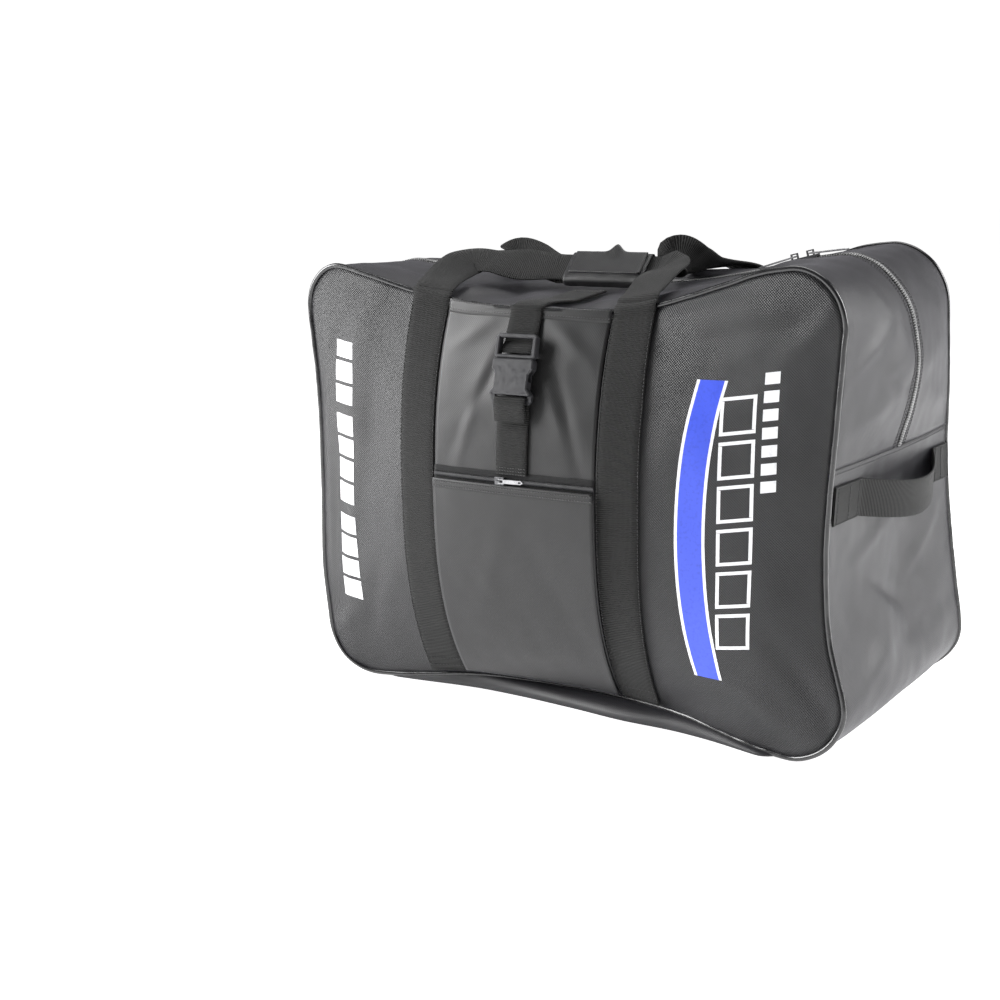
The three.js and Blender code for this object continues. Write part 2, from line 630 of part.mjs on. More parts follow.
// Carry handles: one webbing per side, up one leg, over the top through the wrap, and down the other leg.
const legX = (end) => HANDLE_SHIFT + (end * HANDLE_SPACING) / 2;
const lean = THREE.MathUtils.degToRad(WRAP_LEAN);
const wrapDown = vec(0, -Math.sin(lean), -Math.cos(lean));
const wrapOut = vec(0, -Math.cos(lean), Math.sin(lean));
const wrapHeight = HANDLE_WIDTH * WRAP_GATHER + 2 * (WRAP_WALL + LAY_GAP);
const wrapHalfRise = (wrapHeight * Math.cos(lean) + WRAP_THICKNESS * Math.sin(lean)) / 2;
const wrapCentre = vec(WRAP_SHIFT, -WRAP_FORWARD, topAt(WRAP_SHIFT, -WRAP_FORWARD));
wrapCentre.z += wrapHalfRise + LAY_GAP;

function widthwise(centre, direction, width, cells = 2) {
  return steps(cells, -width / 2, width / 2).map((s) => centre.clone().addScaledVector(direction, s));
}

function handleLeg({ side, end, run }) {
  const x = legX(end);
  const across = steps(2, x + (end * HANDLE_WIDTH) / 2, x - (end * HANDLE_WIDTH) / 2);
  const off = LAY_GAP + HANDLE_EASE + WEBBING / 2;
  const seamTops = across.map((at) => seamTop(side, at));
  const laid = steps(24).map((t) =>
    across.map((at, i) => {
      const z = mix(bottomLine(at) + HANDLE_FOOT, seamTops[i] - HANDLE_BRINK, t);
      return laidPoint(at, z, side, [panel[side]], off);
    }),
  );
  const slope = (seamTops[2] - seamTops[0]) / (across[2] - across[0]);
  const brink = (PIPING_RADIUS + LAY_GAP + off) / Math.cos(quarter / 4);
  const seamY = side * (BAG_DEPTH / 2 + brink);
  for (const angle of steps(2, 0, quarter)) {
    const y = side * (BAG_DEPTH / 2 + brink * Math.cos(angle));
    laid.push(across.map((at, i) => vec(at, y, seamTops[i] + brink * Math.sin(angle))));
  }
  const wrapPoint = wrapCentre.clone().addScaledVector(wrapOut, -side * WRAP_LAYERS);
  const wrapX = wrapPoint.x + end * (WRAP_LENGTH / 2 + 5 * WEBBING);
  const stops = run.map((row) => ({
    gather: 1,
    centre: vec(
      mix(x, wrapX, row.across),
      mix(seamY, wrapPoint.y, row.back),
      mix(seamTops[1], wrapPoint.z, row.rise),
    ),
    width: vec(-end * row.widthX, -side * row.widthY, row.widthZ - end * slope * row.widthX),
  }));
  stops.push({ gather: WRAP_GATHER, centre: vec(wrapX, wrapPoint.y, wrapPoint.z), width: wrapDown.clone() });
  const path = new THREE.CatmullRomCurve3([laid.at(-1)[1], ...stops.map((s) => s.centre)]);
  const free = stops.flatMap((stop, i) => {
    const before = i === 0 ? stop.width : stops[i - 1].width;
    return [0.5, 1].map((t) => {
      const at = (i + t) / stops.length;
      const tangent = at === 1 ? vec(end, 0, 0) : path.getTangent(at);
      const width = before.clone().lerp(stop.width, t);
      width.addScaledVector(tangent, -width.dot(tangent)).normalize();
      const gather = mix(i === 0 ? 1 : stops[i - 1].gather, stop.gather, t);
      return widthwise(path.getPoint(at), width, HANDLE_WIDTH * gather);
    });
  });
  const inWrap = vec(wrapX - 4 * end * WEBBING, wrapPoint.y, wrapPoint.z);
  return [...laid, ...free, widthwise(inWrap, wrapDown, HANDLE_WIDTH * WRAP_GATHER)];
}

function makeHandle(side) {
  const [left, right] = [LEFT, RIGHT].map((end) =>
    handleLeg(HANDLE_RUNS.find((leg) => leg.side === side && leg.end === end)),
  );
  return clothSheet([...left, ...right.reverse()], WEBBING);
}

add("handle_front", makeHandle(FRONT), WEB);
add("handle_back", makeHandle(BACK), WEB);

// The wrap: a sleeve round both handles.
function makeWrap() {
  const [a, b] = [wrapHeight / 2, WRAP_THICKNESS / 2];
  const round = b * 0.3;
  const section = [
    [-a + round, b], [a - round, b], [a, b - round], [a, round - b],
    [a - round, -b], [round - a, -b], [-a, round - b], [-a, b - round],
  ];
  const at = (down, out, x) =>
    wrapCentre.clone().add(vec(x, 0, 0)).addScaledVector(wrapDown, down).addScaledVector(wrapOut, out);
  const grid = section.map(([down, out]) =>
    steps(2, -WRAP_LENGTH / 2, WRAP_LENGTH / 2).map((x) => at(down, out, x)),
  );
  return clothWall(grid, -WRAP_WALL, 0, { looped: true });
}

add("handle_wrap", makeWrap(), NYLON);

// Pockets on the front between the handle legs: an open slip pocket, and a shorter zipped one over it.
const pocketX = [LEFT, RIGHT].map((end) => legX(end) - end * (HANDLE_WIDTH / 2 + 2 * LAY_GAP));

function laidPatch({ x, z, columns, rows, carriers, wall, puff }) {
  const grid = steps(rows).map((v) =>
    steps(columns).map((u) => {
      const at = mix(x[0], x[1], u);
      return laidPoint(at, mix(z[0](at), z[1](at), v), FRONT, carriers, LAY_GAP + puff(u, v));
    }),
  );
  const outer = grid.map((row) => row.map((p) => p.clone().add(vec(0, -wall, 0))));
  return solidThrough(grid.map((row, i) => [...outer[i], ...row.slice().reverse()]));
}

const slipPocket = laidPatch({
  x: pocketX,
  z: [(x) => bottomLine(x) + POCKET_FOOT, (x) => topLine(FRONT, x) + SLIP_POCKET_RISE],
  columns: 8,
  rows: 14,
  carriers: [panel[FRONT]],
  wall: POCKET_WALL,
  puff: (u, v) => POCKET_EASE + POCKET_PUFF * v ** 6 * (1 - (2 * u - 1) ** 2),
});
const slip = add("slip_pocket", slipPocket, NYLON);

const chainLowZ = ZIP_POCKET_HEIGHT + 2 * LAY_GAP;
const chainZ = [chainLowZ, chainLowZ + CHAIN_WIDTH * POCKET_CHAIN_SCALE];
const zipPocket = laidPatch({
  x: pocketX,
  z: [(x) => bottomLine(x) + POCKET_FOOT, () => ZIP_POCKET_HEIGHT],
  columns: 8,
  rows: 10,
  carriers: [slip],
  wall: POCKET_WALL,
  puff: () => ZIP_POCKET_EASE,
});
add("zip_pocket", zipPocket, NYLON);
const pocketZipper = laidPatch({
  x: pocketX,
  z: [() => chainZ[0], () => chainZ[1]],
  columns: 8,
  rows: 1,
  carriers: [slip],
  wall: CHAIN_THICKNESS * POCKET_CHAIN_SCALE,
  puff: () => 0,
});
const pocketChain = add("pocket_zipper", pocketZipper, COIL);

// The compression strap over the pockets, and its side release buckle.
const buckleLow = BUCKLE_TOP - BUCKLE_LENGTH;
const bodyLength = BUCKLE_LENGTH - FRAME_LENGTH - GAP;

// The buckle's frame of reference: X across, Y up the strap, Z away from the bag, its origin at its low end.
function seat(low, high, width, carriers, gap) {
  const base = laidPoint(STRAP_SHIFT, low, FRONT, carriers, gap);
  const up = laidPoint(STRAP_SHIFT, high, FRONT, carriers, gap).sub(base).normalize();
  const out = vec(1, 0, 0).cross(up).normalize();
  let lift = 0;
  for (const z of steps(6, low, high))
    for (const x of steps(4, STRAP_SHIFT - width / 2, STRAP_SHIFT + width / 2)) {
      const over = laidPoint(x, z, FRONT, carriers, gap).sub(base).dot(out);
      lift = Math.max(lift, over);
    }
  return new THREE.Matrix4().makeBasis(vec(1, 0, 0), up, out).setPosition(base.addScaledVector(out, lift));
}

const buckleSeat = seat(buckleLow, BUCKLE_TOP, BUCKLE_WIDTH, [slip], 2 * LAY_GAP + WEBBING);

function plate(outline, holes, thickness, bevel) {
  const shape = new THREE.Shape(outline.map(([x, y]) => new THREE.Vector2(x, y)));
  shape.holes = holes.map((hole) => new THREE.Path(hole.map(([x, y]) => new THREE.Vector2(x, y))));
  return new THREE.ExtrudeGeometry(shape, {
    depth: thickness - 2 * bevel,
    bevelThickness: bevel,
    bevelSize: bevel,
    bevelOffset: -bevel,
    bevelSegments: 1,
  }).translate(0, 0, bevel);
}

const rectangle = (x0, x1, y0, y1) => [[x0, y0], [x1, y0], [x1, y1], [x0, y1]];
const chamfered = (x0, x1, y0, y1, c) => [
  [x0 + c, y0], [x1 - c, y0], [x1, y0 + c], [x1, y1 - c],
  [x1 - c, y1], [x0 + c, y1], [x0, y1 - c], [x0, y0 + c],
];

function makeBuckleBody() {
  const half = BODY_OUTLINE.map((row) => [row.half * BUCKLE_WIDTH, row.along * bodyLength]);
  const outline = [...half, ...half.map(([x, y]) => [-x, y]).reverse()];
  const slotHalf = STRAP_WIDTH / 2 + GAP * 2;
  const slot = rectangle(-slotHalf, slotHalf, BAR, BAR + SLOT);
  const body = plate(outline, [slot], BUCKLE_THICKNESS, 1.2);
  const socketX = BUCKLE_WIDTH * 0.3;
  const socket = boxBetween(
    vec(-socketX, bodyLength * 0.45, BUCKLE_WALL),
    vec(socketX, bodyLength + 1, BUCKLE_THICKNESS - BUCKLE_WALL),
  );
  const window = (end) =>
    boxBetween(
      vec(Math.min(end * socketX * 0.9, end * BUCKLE_WIDTH), bodyLength * 0.5, BUCKLE_WALL),
      vec(Math.max(end * socketX * 0.9, end * BUCKLE_WIDTH), bodyLength * 0.74, BUCKLE_THICKNESS - BUCKLE_WALL),
    );
  const barRelief = boxBetween(
    vec(-BUCKLE_WIDTH, -1, BAR_THICKNESS),
    vec(BUCKLE_WIDTH, BAR + SLOT, BUCKLE_THICKNESS + 1),
  );
  return cut(body, socket, barRelief, window(LEFT), window(RIGHT)).applyMatrix4(buckleSeat);
}

add("buckle_body", makeBuckleBody(), PLASTIC);

function makeBuckleFrame() {
  const low = bodyLength + GAP;
  const half = BUCKLE_WIDTH * 0.46;
  const outline = chamfered(-half, half, low, BUCKLE_LENGTH, 3);
  const slotHalf = STRAP_WIDTH / 2 + GAP * 2;
  const hole = rectangle(-slotHalf, slotHalf, low + BAR, BUCKLE_LENGTH - BAR);
  const ladder = plate(outline, [hole], BUCKLE_THICKNESS * 0.8, 1);
  const tongueX = BUCKLE_WIDTH * 0.3 - GAP;
  const tongue = boxBetween(
    vec(-tongueX, bodyLength * 0.45 + GAP, BUCKLE_WALL + GAP),
    vec(tongueX, low + BAR / 2, BUCKLE_THICKNESS - BUCKLE_WALL - GAP),
  );
  return joined(ladder, tongue).applyMatrix4(buckleSeat);
}

add("buckle_frame", makeBuckleFrame(), PLASTIC);

// Rows of the strap: on the pocket at a height, in the buckle's frame, or over the top of the bag.
const strapOff = LAY_GAP + WEBBING / 2;
const strapRow = (x, point) => steps(2, x - STRAP_WIDTH / 2, x + STRAP_WIDTH / 2).map(point);
const pocketRow = (z, x = STRAP_SHIFT) => strapRow(x, (at) => laidPoint(at, z, FRONT, [slip], strapOff));
const buckleRow = ([y, out]) => strapRow(0, (x) => vec(x, y, out).applyMatrix4(buckleSeat));
const topRow = (y, x) => strapRow(x, (at) => vec(at, y, topAt(at, y) + strapOff));

// The lower strap comes up behind the buckle, through its slot, and its tail folds down over the bar.
const roundBar = (out, from, to) =>
  steps(2, from, to).map((a) => [BAR + (SLOT / 2) * Math.cos(a), out + (SLOT / 2) * Math.sin(a)]);
const tailPath = [
  [-BAR, -strapOff],
  ...roundBar(0, -quarter, 0),
  ...roundBar(BAR_THICKNESS, 0, quarter),
  [-BAR / 2, BAR_THICKNESS + SLOT / 2],
  [-STRAP_TAIL / 2, BAR],
  [-STRAP_TAIL, WEBBING / 2],
];
const strapFoot = chainZ[1] + STRAP_FOOT / 2;
const lowerStrap = [
  ...steps(4, strapFoot, buckleLow - 2 * BAR).map((z) => pocketRow(z)),
  ...tailPath.map(buckleRow),
];
add("compression_strap_lower", clothSheet(lowerStrap, WEBBING), WEB);

// The upper strap goes down behind the frame's top bar and comes forward in its window.
const windowLow = bodyLength + GAP + BAR;
const windowPath = [
  [windowLow + WEBBING, BAR],
  [mix(windowLow, BUCKLE_LENGTH - BAR, 0.45), BAR * 0.8],
  [BUCKLE_LENGTH - BAR - WEBBING, -strapOff * 0.8],
  [BUCKLE_LENGTH, -strapOff],
];
const brinkZ = topLine(FRONT, STRAP_SHIFT) + SLIP_POCKET_RISE;
const brinkY = pocketRow(brinkZ - WEBBING, STRAP_SHIFT)[1].y;
const strapTopX = (t) => mix(STRAP_SHIFT, STRAP_TOP_SHIFT, t);
const overBrink = [
  { t: 0.12, back: 0.007, rise: 0.42 },
  { t: 0.2, back: 0.056, rise: 0.82 },
  { t: 0.3, back: 0.17, rise: 0.96 },
  { t: 0.4, back: 0.31, rise: 1 },
];
const upperStrap = [
  ...windowPath.map(buckleRow),
  ...steps(2, BUCKLE_TOP + 2 * BAR, brinkZ - WEBBING).map((z) => pocketRow(z)),
  ...overBrink.map(({ t, back, rise }) =>
    strapRow(strapTopX(t), (x) => vec(x, brinkY + back * STRAP_REACH, brinkZ + rise * STRAP_BRINK_RISE)),
  ),
  ...steps(3).map((t) => topRow(-BAG_DEPTH / 2 + mix(0.4, 1, t) * STRAP_REACH, strapTopX(mix(0.6, 1, t)))),
];
add("compression_strap_upper", clothSheet(upperStrap, WEBBING), WEB);

// Side grab handles: webbing sewn down at both ends, its middle standing off and drooping.
function makeSideHandle(end) {
  const [front, back] = [SIDE_HANDLE_FRONT - BAG_DEPTH / 2, BAG_DEPTH / 2 - SIDE_HANDLE_BACK];
  const margin = PIPING_RADIUS + 2 * LAY_GAP;
  const row = (y, rise) =>
    steps(2, -SIDE_HANDLE_WIDTH / 2, SIDE_HANDLE_WIDTH / 2).map((up) => {
      const z = CROSS_SEAM_HEIGHT - SIDE_HANDLE_BELOW - SIDE_HANDLE_WIDTH / 2 + up;
      ray.set(vec(end * BAG_WIDTH, y, z), vec(-end, 0, 0));
      const hit = ray.intersectObjects(named("gusset_bottom"), false)[0];
      const laid = hit.point.addScaledVector(hit.face.normal, strapOff);
      return laid.add(vec(end * SIDE_HANDLE_STAND * rise, 0, -SIDE_HANDLE_DROP * rise));
    });
  return clothSheet(
    [
      ...steps(3, margin - BAG_DEPTH / 2, front).map((y) => row(y, 0)),
      ...steps(10).slice(1, -1).map((t) => row(mix(front, back, t), Math.sin(Math.PI * t))),
      ...steps(2, back, BAG_DEPTH / 2 - margin).map((y) => row(y, 0)),
    ],
    WEBBING,
  );
}

add("side_handle_right", makeSideHandle(RIGHT), WEB);
add("side_handle_left", makeSideHandle(LEFT), WEB);

// Zipper sliders and their pulls, made in their own frame: X along the zipper, Y across it, Z away from it.
function makeSlider(scale) {
  const [length, plateTop] = [SLIDER_LENGTH * scale, RUNNING_GAP + SLIDER_PLATE * scale];
  const chainHalf = (CHAIN_WIDTH / 2) * scale + RUNNING_GAP;
  const half = chainHalf + FLANGE_WALL * scale;
  const block = boxBetween(vec(-length / 2, -half, -FLANGE_DEPTH * scale), vec(length / 2, half, plateTop));
  const channel = boxBetween(vec(-length, -chainHalf, -BRIDGE_SPAN), vec(length, chainHalf, RUNNING_GAP));
  const [span, wide] = [(BRIDGE_SPAN * scale) / 2, (BRIDGE_WIDTH * scale) / 2];
  const wall = BRIDGE_WALL * scale;
  const archTop = plateTop + 2 * (PIN_RADIUS + PIN_ROOM) * scale;
  const arch = boxBetween(vec(-span - wall, -wide, plateTop - wall), vec(span + wall, wide, archTop + wall));
  const eye = boxBetween(vec(-span, -2 * wide, plateTop), vec(span, 2 * wide, archTop));
  return joined(cut(block, channel), cut(arch, eye));
}

const pinHeight = (scale) => RUNNING_GAP + (SLIDER_PLATE + PIN_RADIUS + PIN_ROOM) * scale;

function makePull(scale) {
  const armIn = (BRIDGE_WIDTH / 2) * scale + RUNNING_GAP;
  const armOut = armIn + ARM_WALL * scale;
  const pin = new THREE.CylinderGeometry(PIN_RADIUS * scale, PIN_RADIUS * scale, 2 * armOut, 10);
  const [thick, reach] = [(PULL_WALL / 2) * scale, ARM_LENGTH * scale];
  const arm = (side) =>
    boxBetween(
      vec(0, Math.min(side * armIn, side * armOut), -thick),
      vec(reach, Math.max(side * armIn, side * armOut), thick),
    );
  const [x0, x1] = [reach - thick, PULL_LENGTH * scale];
  const [wide, narrow] = [(PULL_WIDTH / 2) * scale, (PULL_WIDTH / 3) * scale];
  const outline = [
    [x0, -wide], [x1 - wide, -wide], [x1, -narrow / 2], [x1, narrow / 2], [x1 - wide, wide], [x0, wide],
  ];
  const holeX = x1 - 1.6 * wide;
  const hole = rectangle(holeX - narrow, holeX + narrow, -narrow / 2, narrow / 2);
  const tab = plate(outline, [hole], 2 * thick, thick / 3).translate(0, 0, -thick);
  return joined(pin, arm(LEFT), arm(RIGHT), tab);
}

// Adds a slider and its pull on a zipper: the pull lies down along the frame's X until it rests on what it meets.
function addSlider(name, frame, scale, carriers) {
  add(`${name}_slider`, makeSlider(scale).applyMatrix4(frame), METAL);
  const out = vec(0, 0, 1).transformDirection(frame);
  const origin = vec(0, 0, pinHeight(scale)).applyMatrix4(frame);
  const drops = steps(8, 0.5, 1).map((t) => {
    const reach = t * PULL_LENGTH * scale;
    const point = vec(reach, 0, pinHeight(scale)).applyMatrix4(frame);
    ray.set(point, out.clone().negate());
    const hit = ray.intersectObjects(carriers, false)[0];
    return Math.asin((hit.distance - (PULL_WALL / 2) * scale - RUNNING_GAP) / reach);
  });
  const pull = add(`${name}_pull`, makePull(scale), METAL);
  pull.applyMatrix4(frame.clone().setPosition(origin));
  const restRoom = (PIN_ROOM + PIN_RADIUS - PULL_WALL / 2) * scale - GAP;
  pull.rotateY(Math.min(...drops, Math.atan((2 * restRoom) / (SLIDER_LENGTH * scale))));
}

const topX = innerX - ((SLIDER_FACET + 0.5) * 2 * innerX) / TOP_FACETS;
ray.set(vec(topX, 0, BAG_HEIGHT * 3), vec(0, 0, -1));
const chainHit = ray.intersectObjects(named("zipper_chain"), false)[0];
for (const [name, facing] of [["left", LEFT], ["right", RIGHT]]) {
  const out = chainHit.face.normal;
  const along = vec(0, facing, 0).cross(out).normalize();
  const origin = chainHit.point.clone().addScaledVector(along, SLIDER_SPACING / 2);
  const frame = new THREE.Matrix4().makeBasis(along, out.clone().cross(along), out).setPosition(origin);
  addSlider(name, frame, 1, topPieces);
}

const pocketHit = laidPoint(POCKET_SLIDER_X, (chainZ[0] + chainZ[1]) / 2, FRONT, [pocketChain], 0);
const pocketOut = laidPoint(POCKET_SLIDER_X, (chainZ[0] + chainZ[1]) / 2, FRONT, [pocketChain], 1).sub(pocketHit);
const pocketAlong = vec(1, 0, 0).addScaledVector(pocketOut, -pocketOut.x).normalize();
const pocketFrame = new THREE.Matrix4()
  .makeBasis(pocketAlong, pocketOut.clone().cross(pocketAlong), pocketOut)
  .setPosition(pocketHit);
addSlider("pocket", pocketFrame, POCKET_CHAIN_SCALE, [slip, pocketChain]);

export default bag;
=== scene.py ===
"""The look of a black nylon gear bag: soft panels, gussets, webbing, pockets, zippers, buckle and stitches.

Lengths are millimetres until a mesh is made. +X is the viewer's right, +Y the back, +Z up.
"""

import math

import bpy
import numpy as np
from mathutils import Matrix, Vector, noise


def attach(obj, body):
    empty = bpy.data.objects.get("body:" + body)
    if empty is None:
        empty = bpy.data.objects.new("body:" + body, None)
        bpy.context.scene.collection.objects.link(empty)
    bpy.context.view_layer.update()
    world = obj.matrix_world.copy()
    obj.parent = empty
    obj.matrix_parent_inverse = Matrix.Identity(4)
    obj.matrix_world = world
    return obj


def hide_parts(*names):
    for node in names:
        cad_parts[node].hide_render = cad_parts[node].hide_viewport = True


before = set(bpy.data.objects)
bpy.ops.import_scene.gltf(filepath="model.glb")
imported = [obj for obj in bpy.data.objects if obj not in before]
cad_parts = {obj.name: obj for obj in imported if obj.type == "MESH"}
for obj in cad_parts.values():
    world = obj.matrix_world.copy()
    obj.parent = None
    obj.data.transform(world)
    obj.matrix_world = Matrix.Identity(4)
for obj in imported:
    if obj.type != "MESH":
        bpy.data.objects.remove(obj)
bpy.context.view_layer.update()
MM = 0.001
FRONT, BACK = -1, 1
LEFT, RIGHT = -1, 1

# Sizes of the bag, as in the frame.
WIDTH, HEIGHT, DEPTH = 636, 472, 300
CORNER = 62
CROSS_SEAM = 285
PIPING = 2.5
BULGE = {FRONT: 44, BACK: 34}
BOTTOM_TUCK = {FRONT: 39, BACK: 24}
BOTTOM_FLARE = {(FRONT, LEFT): -12, (FRONT, RIGHT): 20, (BACK, LEFT): 0, (BACK, RIGHT): 0}
BOTTOM_LIFT = 13
BOTTOM_LIFT_RUN = 150
SEAM_CLEARANCE = 3.2
BOTTOM_ROUNDING = 60
LAY_GAP = 0.9
WEBBING = 2
HANDLE_WIDTH, HANDLE_SPACING, HANDLE_SHIFT = 44.5, 234, -31
HANDLE_FOOT, HANDLE_BRINK, HANDLE_EASE = 8, 6, 0.5
WRAP_LENGTH, WRAP_LEAN, WRAP_GATHER, WRAP_LAYERS = 92, 48, 0.82, 2.9
WRAP_CENTRE = (10, -57, 458.6)
STRAP_WIDTH, STRAP_SHIFT, STRAP_TOP_SHIFT, STRAP_REACH = 36, -29, 0, 71
BUCKLE_LOW, BUCKLE_TOP, BUCKLE_TILT = 332, 402, 15.2
BUCKLE_SEAT = (-29, -195.24, 333.01)
BODY_LENGTH, BAR, BAR_THICKNESS, SLOT = 44.7, 4, 5, 4.4
POCKET_FOOT, POCKET_PUFF, SLIP_POCKET_RISE, ZIP_POCKET_HEIGHT = 12, 7, 2.5, 250
CHAIN_LOW, CHAIN_HIGH = 251.8, 257.83
SIDE_HANDLE_WIDTH, SIDE_HANDLE_HEIGHT = 38, 250
SIDE_HANDLE_FRONT, SIDE_HANDLE_BACK, SIDE_HANDLE_STAND, SIDE_HANDLE_DROP = 62, 48, 26, 12

# How far each upright seam is drawn in: height share, then shares of the width for each seam.
SIDE_HEIGHTS = [0.0, 0.12, 0.26, 0.42, 0.55, 0.7, 0.85, 1.0]
SIDE_LINES = {
    (FRONT, RIGHT): [0.006, 0.014, 0.043, 0.054, 0.052, 0.045, 0.038, 0.03],
    (FRONT, LEFT): [0.026, 0.028, 0.022, 0.026, 0.028, 0.026, 0.015, 0.004],
    (BACK, RIGHT): [-0.026, -0.034, -0.02, -0.004, 0.004, 0.006, 0.011, 0.015],
    (BACK, LEFT): [-0.008, -0.012, -0.004, 0.008, 0.014, 0.012, 0.01, 0.012],
}
# How far each top seam sags from the middle to the corners: half width share, then shares of the height.
SAG_REACH = [0.0, 0.2, 0.33, 0.5, 0.6, 0.7, 0.8, 0.88, 1.0]
TOP_LINES = {
    (FRONT, RIGHT): [0.102, 0.1, 0.088, 0.057, 0.036, 0.014, 0.002, 0.0, 0.0],
    (FRONT, LEFT): [0.102, 0.1, 0.095, 0.077, 0.063, 0.045, 0.028, 0.012, 0.0],
    (BACK, RIGHT): [0.064, 0.064, 0.063, 0.04, 0.016, -0.006, -0.016, -0.017, -0.017],
    (BACK, LEFT): [0.064, 0.064, 0.063, 0.052, 0.041, 0.031, 0.026, 0.025, 0.025],
}
END_HEIGHTS = [0.0, 0.15, 0.34, 0.5, 0.6, 0.69, 0.78, 0.86, 0.94, 1.0]
END_CROWN = {
    RIGHT: [0, 0.006, -0.012, 0.0, 0.014, 0.045, 0.057, 0.04, 0.01, 0],
    LEFT: [0, 0.012, -0.004, 0.004, 0.02, 0.045, 0.054, 0.038, 0.01, 0],
}
TOP_REACH = [0.0, 0.4, 0.6, 0.8, 1.0]
TOP_CROWN = [0.03, 0.036, 0.026, 0.006, 0.0]

# Large folds of the panels: side, x, z, long, wide, lean in degrees, rise; shares as in the frame.
PANEL_FOLDS = [
    (FRONT, -0.4, 0.62, 0.4, 0.045, 86, 0.018),
    (FRONT, -0.33, 0.72, 0.26, 0.04, 80, -0.02),
    (FRONT, 0.33, 0.8, 0.2, 0.045, 24, -0.018),
    (FRONT, 0.4, 0.33, 0.16, 0.05, 48, 0.018),
    (BACK, -0.28, 0.7, 0.28, 0.06, 100, 0.018),
    (BACK, 0.3, 0.4, 0.26, 0.06, 70, -0.018),
]
# Dents of the ends: side, place across, height, tall, wide, rise.
END_FOLDS = [
    (RIGHT, 0.3, 0.3, 0.13, 0.34, -0.03),
    (RIGHT, -0.35, 0.24, 0.12, 0.3, 0.026),
    (RIGHT, -0.3, 0.8, 0.1, 0.3, 0.02),
    (LEFT, 0.2, 0.28, 0.14, 0.36, -0.026),
    (LEFT, -0.3, 0.42, 0.12, 0.3, 0.02),
]


def mix(a, b, t):
    return a + (b - a) * t


def smooth(t):
    t = np.clip(t, 0, 1)
    return t * t * (3 - 2 * t)


def follow(keys, values, at):
    """The value at a place between the keys, on a smooth curve through them."""
    keys, values, at = np.array(keys, float), np.array(values, float), np.asarray(at, float)
    index = np.arange(len(keys))
    before, after = np.maximum(index - 1, 0), np.minimum(index + 1, len(keys) - 1)
    slopes = (values[after] - values[before]) / (keys[after] - keys[before])
    row = np.clip(np.searchsorted(keys, at, side="right") - 1, 0, len(keys) - 2)
    run = keys[row + 1] - keys[row]
    t = np.clip((at - keys[row]) / run, 0, 1)
    return (
        (2 * t**3 - 3 * t**2 + 1) * values[row]
        + (t**3 - 2 * t**2 + t) * slopes[row] * run
        + (3 * t**2 - 2 * t**3) * values[row + 1]
        + (t**3 - t**2) * slopes[row + 1] * run
    )


# The shape of the bag, as in the frame.
def at_corners(keys, table, side, x, at):
    """The value of a table with a row for each side and end of the bag, at a place along its keys."""
    return np.where(x > 0, follow(keys, table[side, RIGHT], at), follow(keys, table[side, LEFT], at))


def half_width(side, x, height):
    return WIDTH * (0.5 - at_corners(SIDE_HEIGHTS, SIDE_LINES, side, np.asarray(x), np.clip(height, 0, 1)))


def middle(x):
    return smooth((WIDTH / 2 - CORNER - np.abs(x)) / BOTTOM_LIFT_RUN)


def top_line(side, x):
    reach = np.clip(np.abs(x) / (WIDTH / 2), 0, 1)
    return HEIGHT * (1 - at_corners(SAG_REACH, TOP_LINES, side, np.asarray(x), reach))


def bottom_line(x):
    return SEAM_CLEARANCE + BOTTOM_LIFT * middle(x)


def warp(side, x, z, lift=1):
    share = z / HEIGHT
    raised = mix(WEBBING / 2, bottom_line(x), lift) * np.clip(1 - share, 0, 1) ** 4
    out = x * half_width(side, x, share) / (WIDTH / 2)
    return out, z - (HEIGHT - top_line(side, x)) * share**2 + raised


def bump(x, z, row):
    """A soft ridge of height 1 at (x, z): shares of the place, length, width and lean in degrees."""
    at_x, at_z, long, wide, lean = row
    lean = math.radians(lean)
    dx, dz = x - at_x * WIDTH, z - at_z * HEIGHT
    along = (dx * math.cos(lean) + dz * math.sin(lean)) / (long * HEIGHT)
    off = (dz * math.cos(lean) - dx * math.sin(lean)) / (wide * WIDTH)
    return np.exp(-(along**2) - off**2)


def panel_depth(side, x, z):
    across = np.clip(np.abs(x) / half_width(side, x, z / HEIGHT), 0, 1)
    up = np.clip((z - bottom_line(x)) / (top_line(side, x) - bottom_line(x)), 0, 1)
    pillow = (1 - across**2.4) * (1 - np.abs(2 * up - 1) ** 2.6)
    tuck = BOTTOM_TUCK[side] * np.cos(across * math.pi / 2) ** 2 * (1 - up) ** 4
    flare = np.where(np.asarray(x) > 0, BOTTOM_FLARE[side, RIGHT], BOTTOM_FLARE[side, LEFT])
    flare = flare * smooth(across) * np.clip(1 - z / HEIGHT, 0, 1) ** 4
    folds = sum(row[-1] * DEPTH * bump(x, z, row[1:6]) for row in PANEL_FOLDS if row[0] == side)
    return DEPTH / 2 + BULGE[side] * pillow - tuck + flare + folds * pillow**0.5


def panel_point(side, x, z):
    return np.stack([x, side * panel_depth(side, x, z), z], -1)


def seam_point(side, x, z):
    return panel_point(side, *warp(side, x, z))


def unit(v):
    return v / np.linalg.norm(v, axis=-1, keepdims=True)


def panel_normal(side, x, z, step=2.0):
    along = panel_point(side, x + step, z) - panel_point(side, x - step, z)
    up = panel_point(side, x, z + step) - panel_point(side, x, z - step)
    return unit(np.cross(along, up)) * -side


def laid(side, x, z, gap):
    """The point a distance off the panel's face."""
    x, z = np.broadcast_arrays(np.asarray(x, float), np.asarray(z, float))
    gap = np.asarray(gap, float)[..., None] if np.ndim(gap) else gap
    return panel_point(side, x, z) + panel_normal(side, x, z) * (WEBBING / 2 + gap)


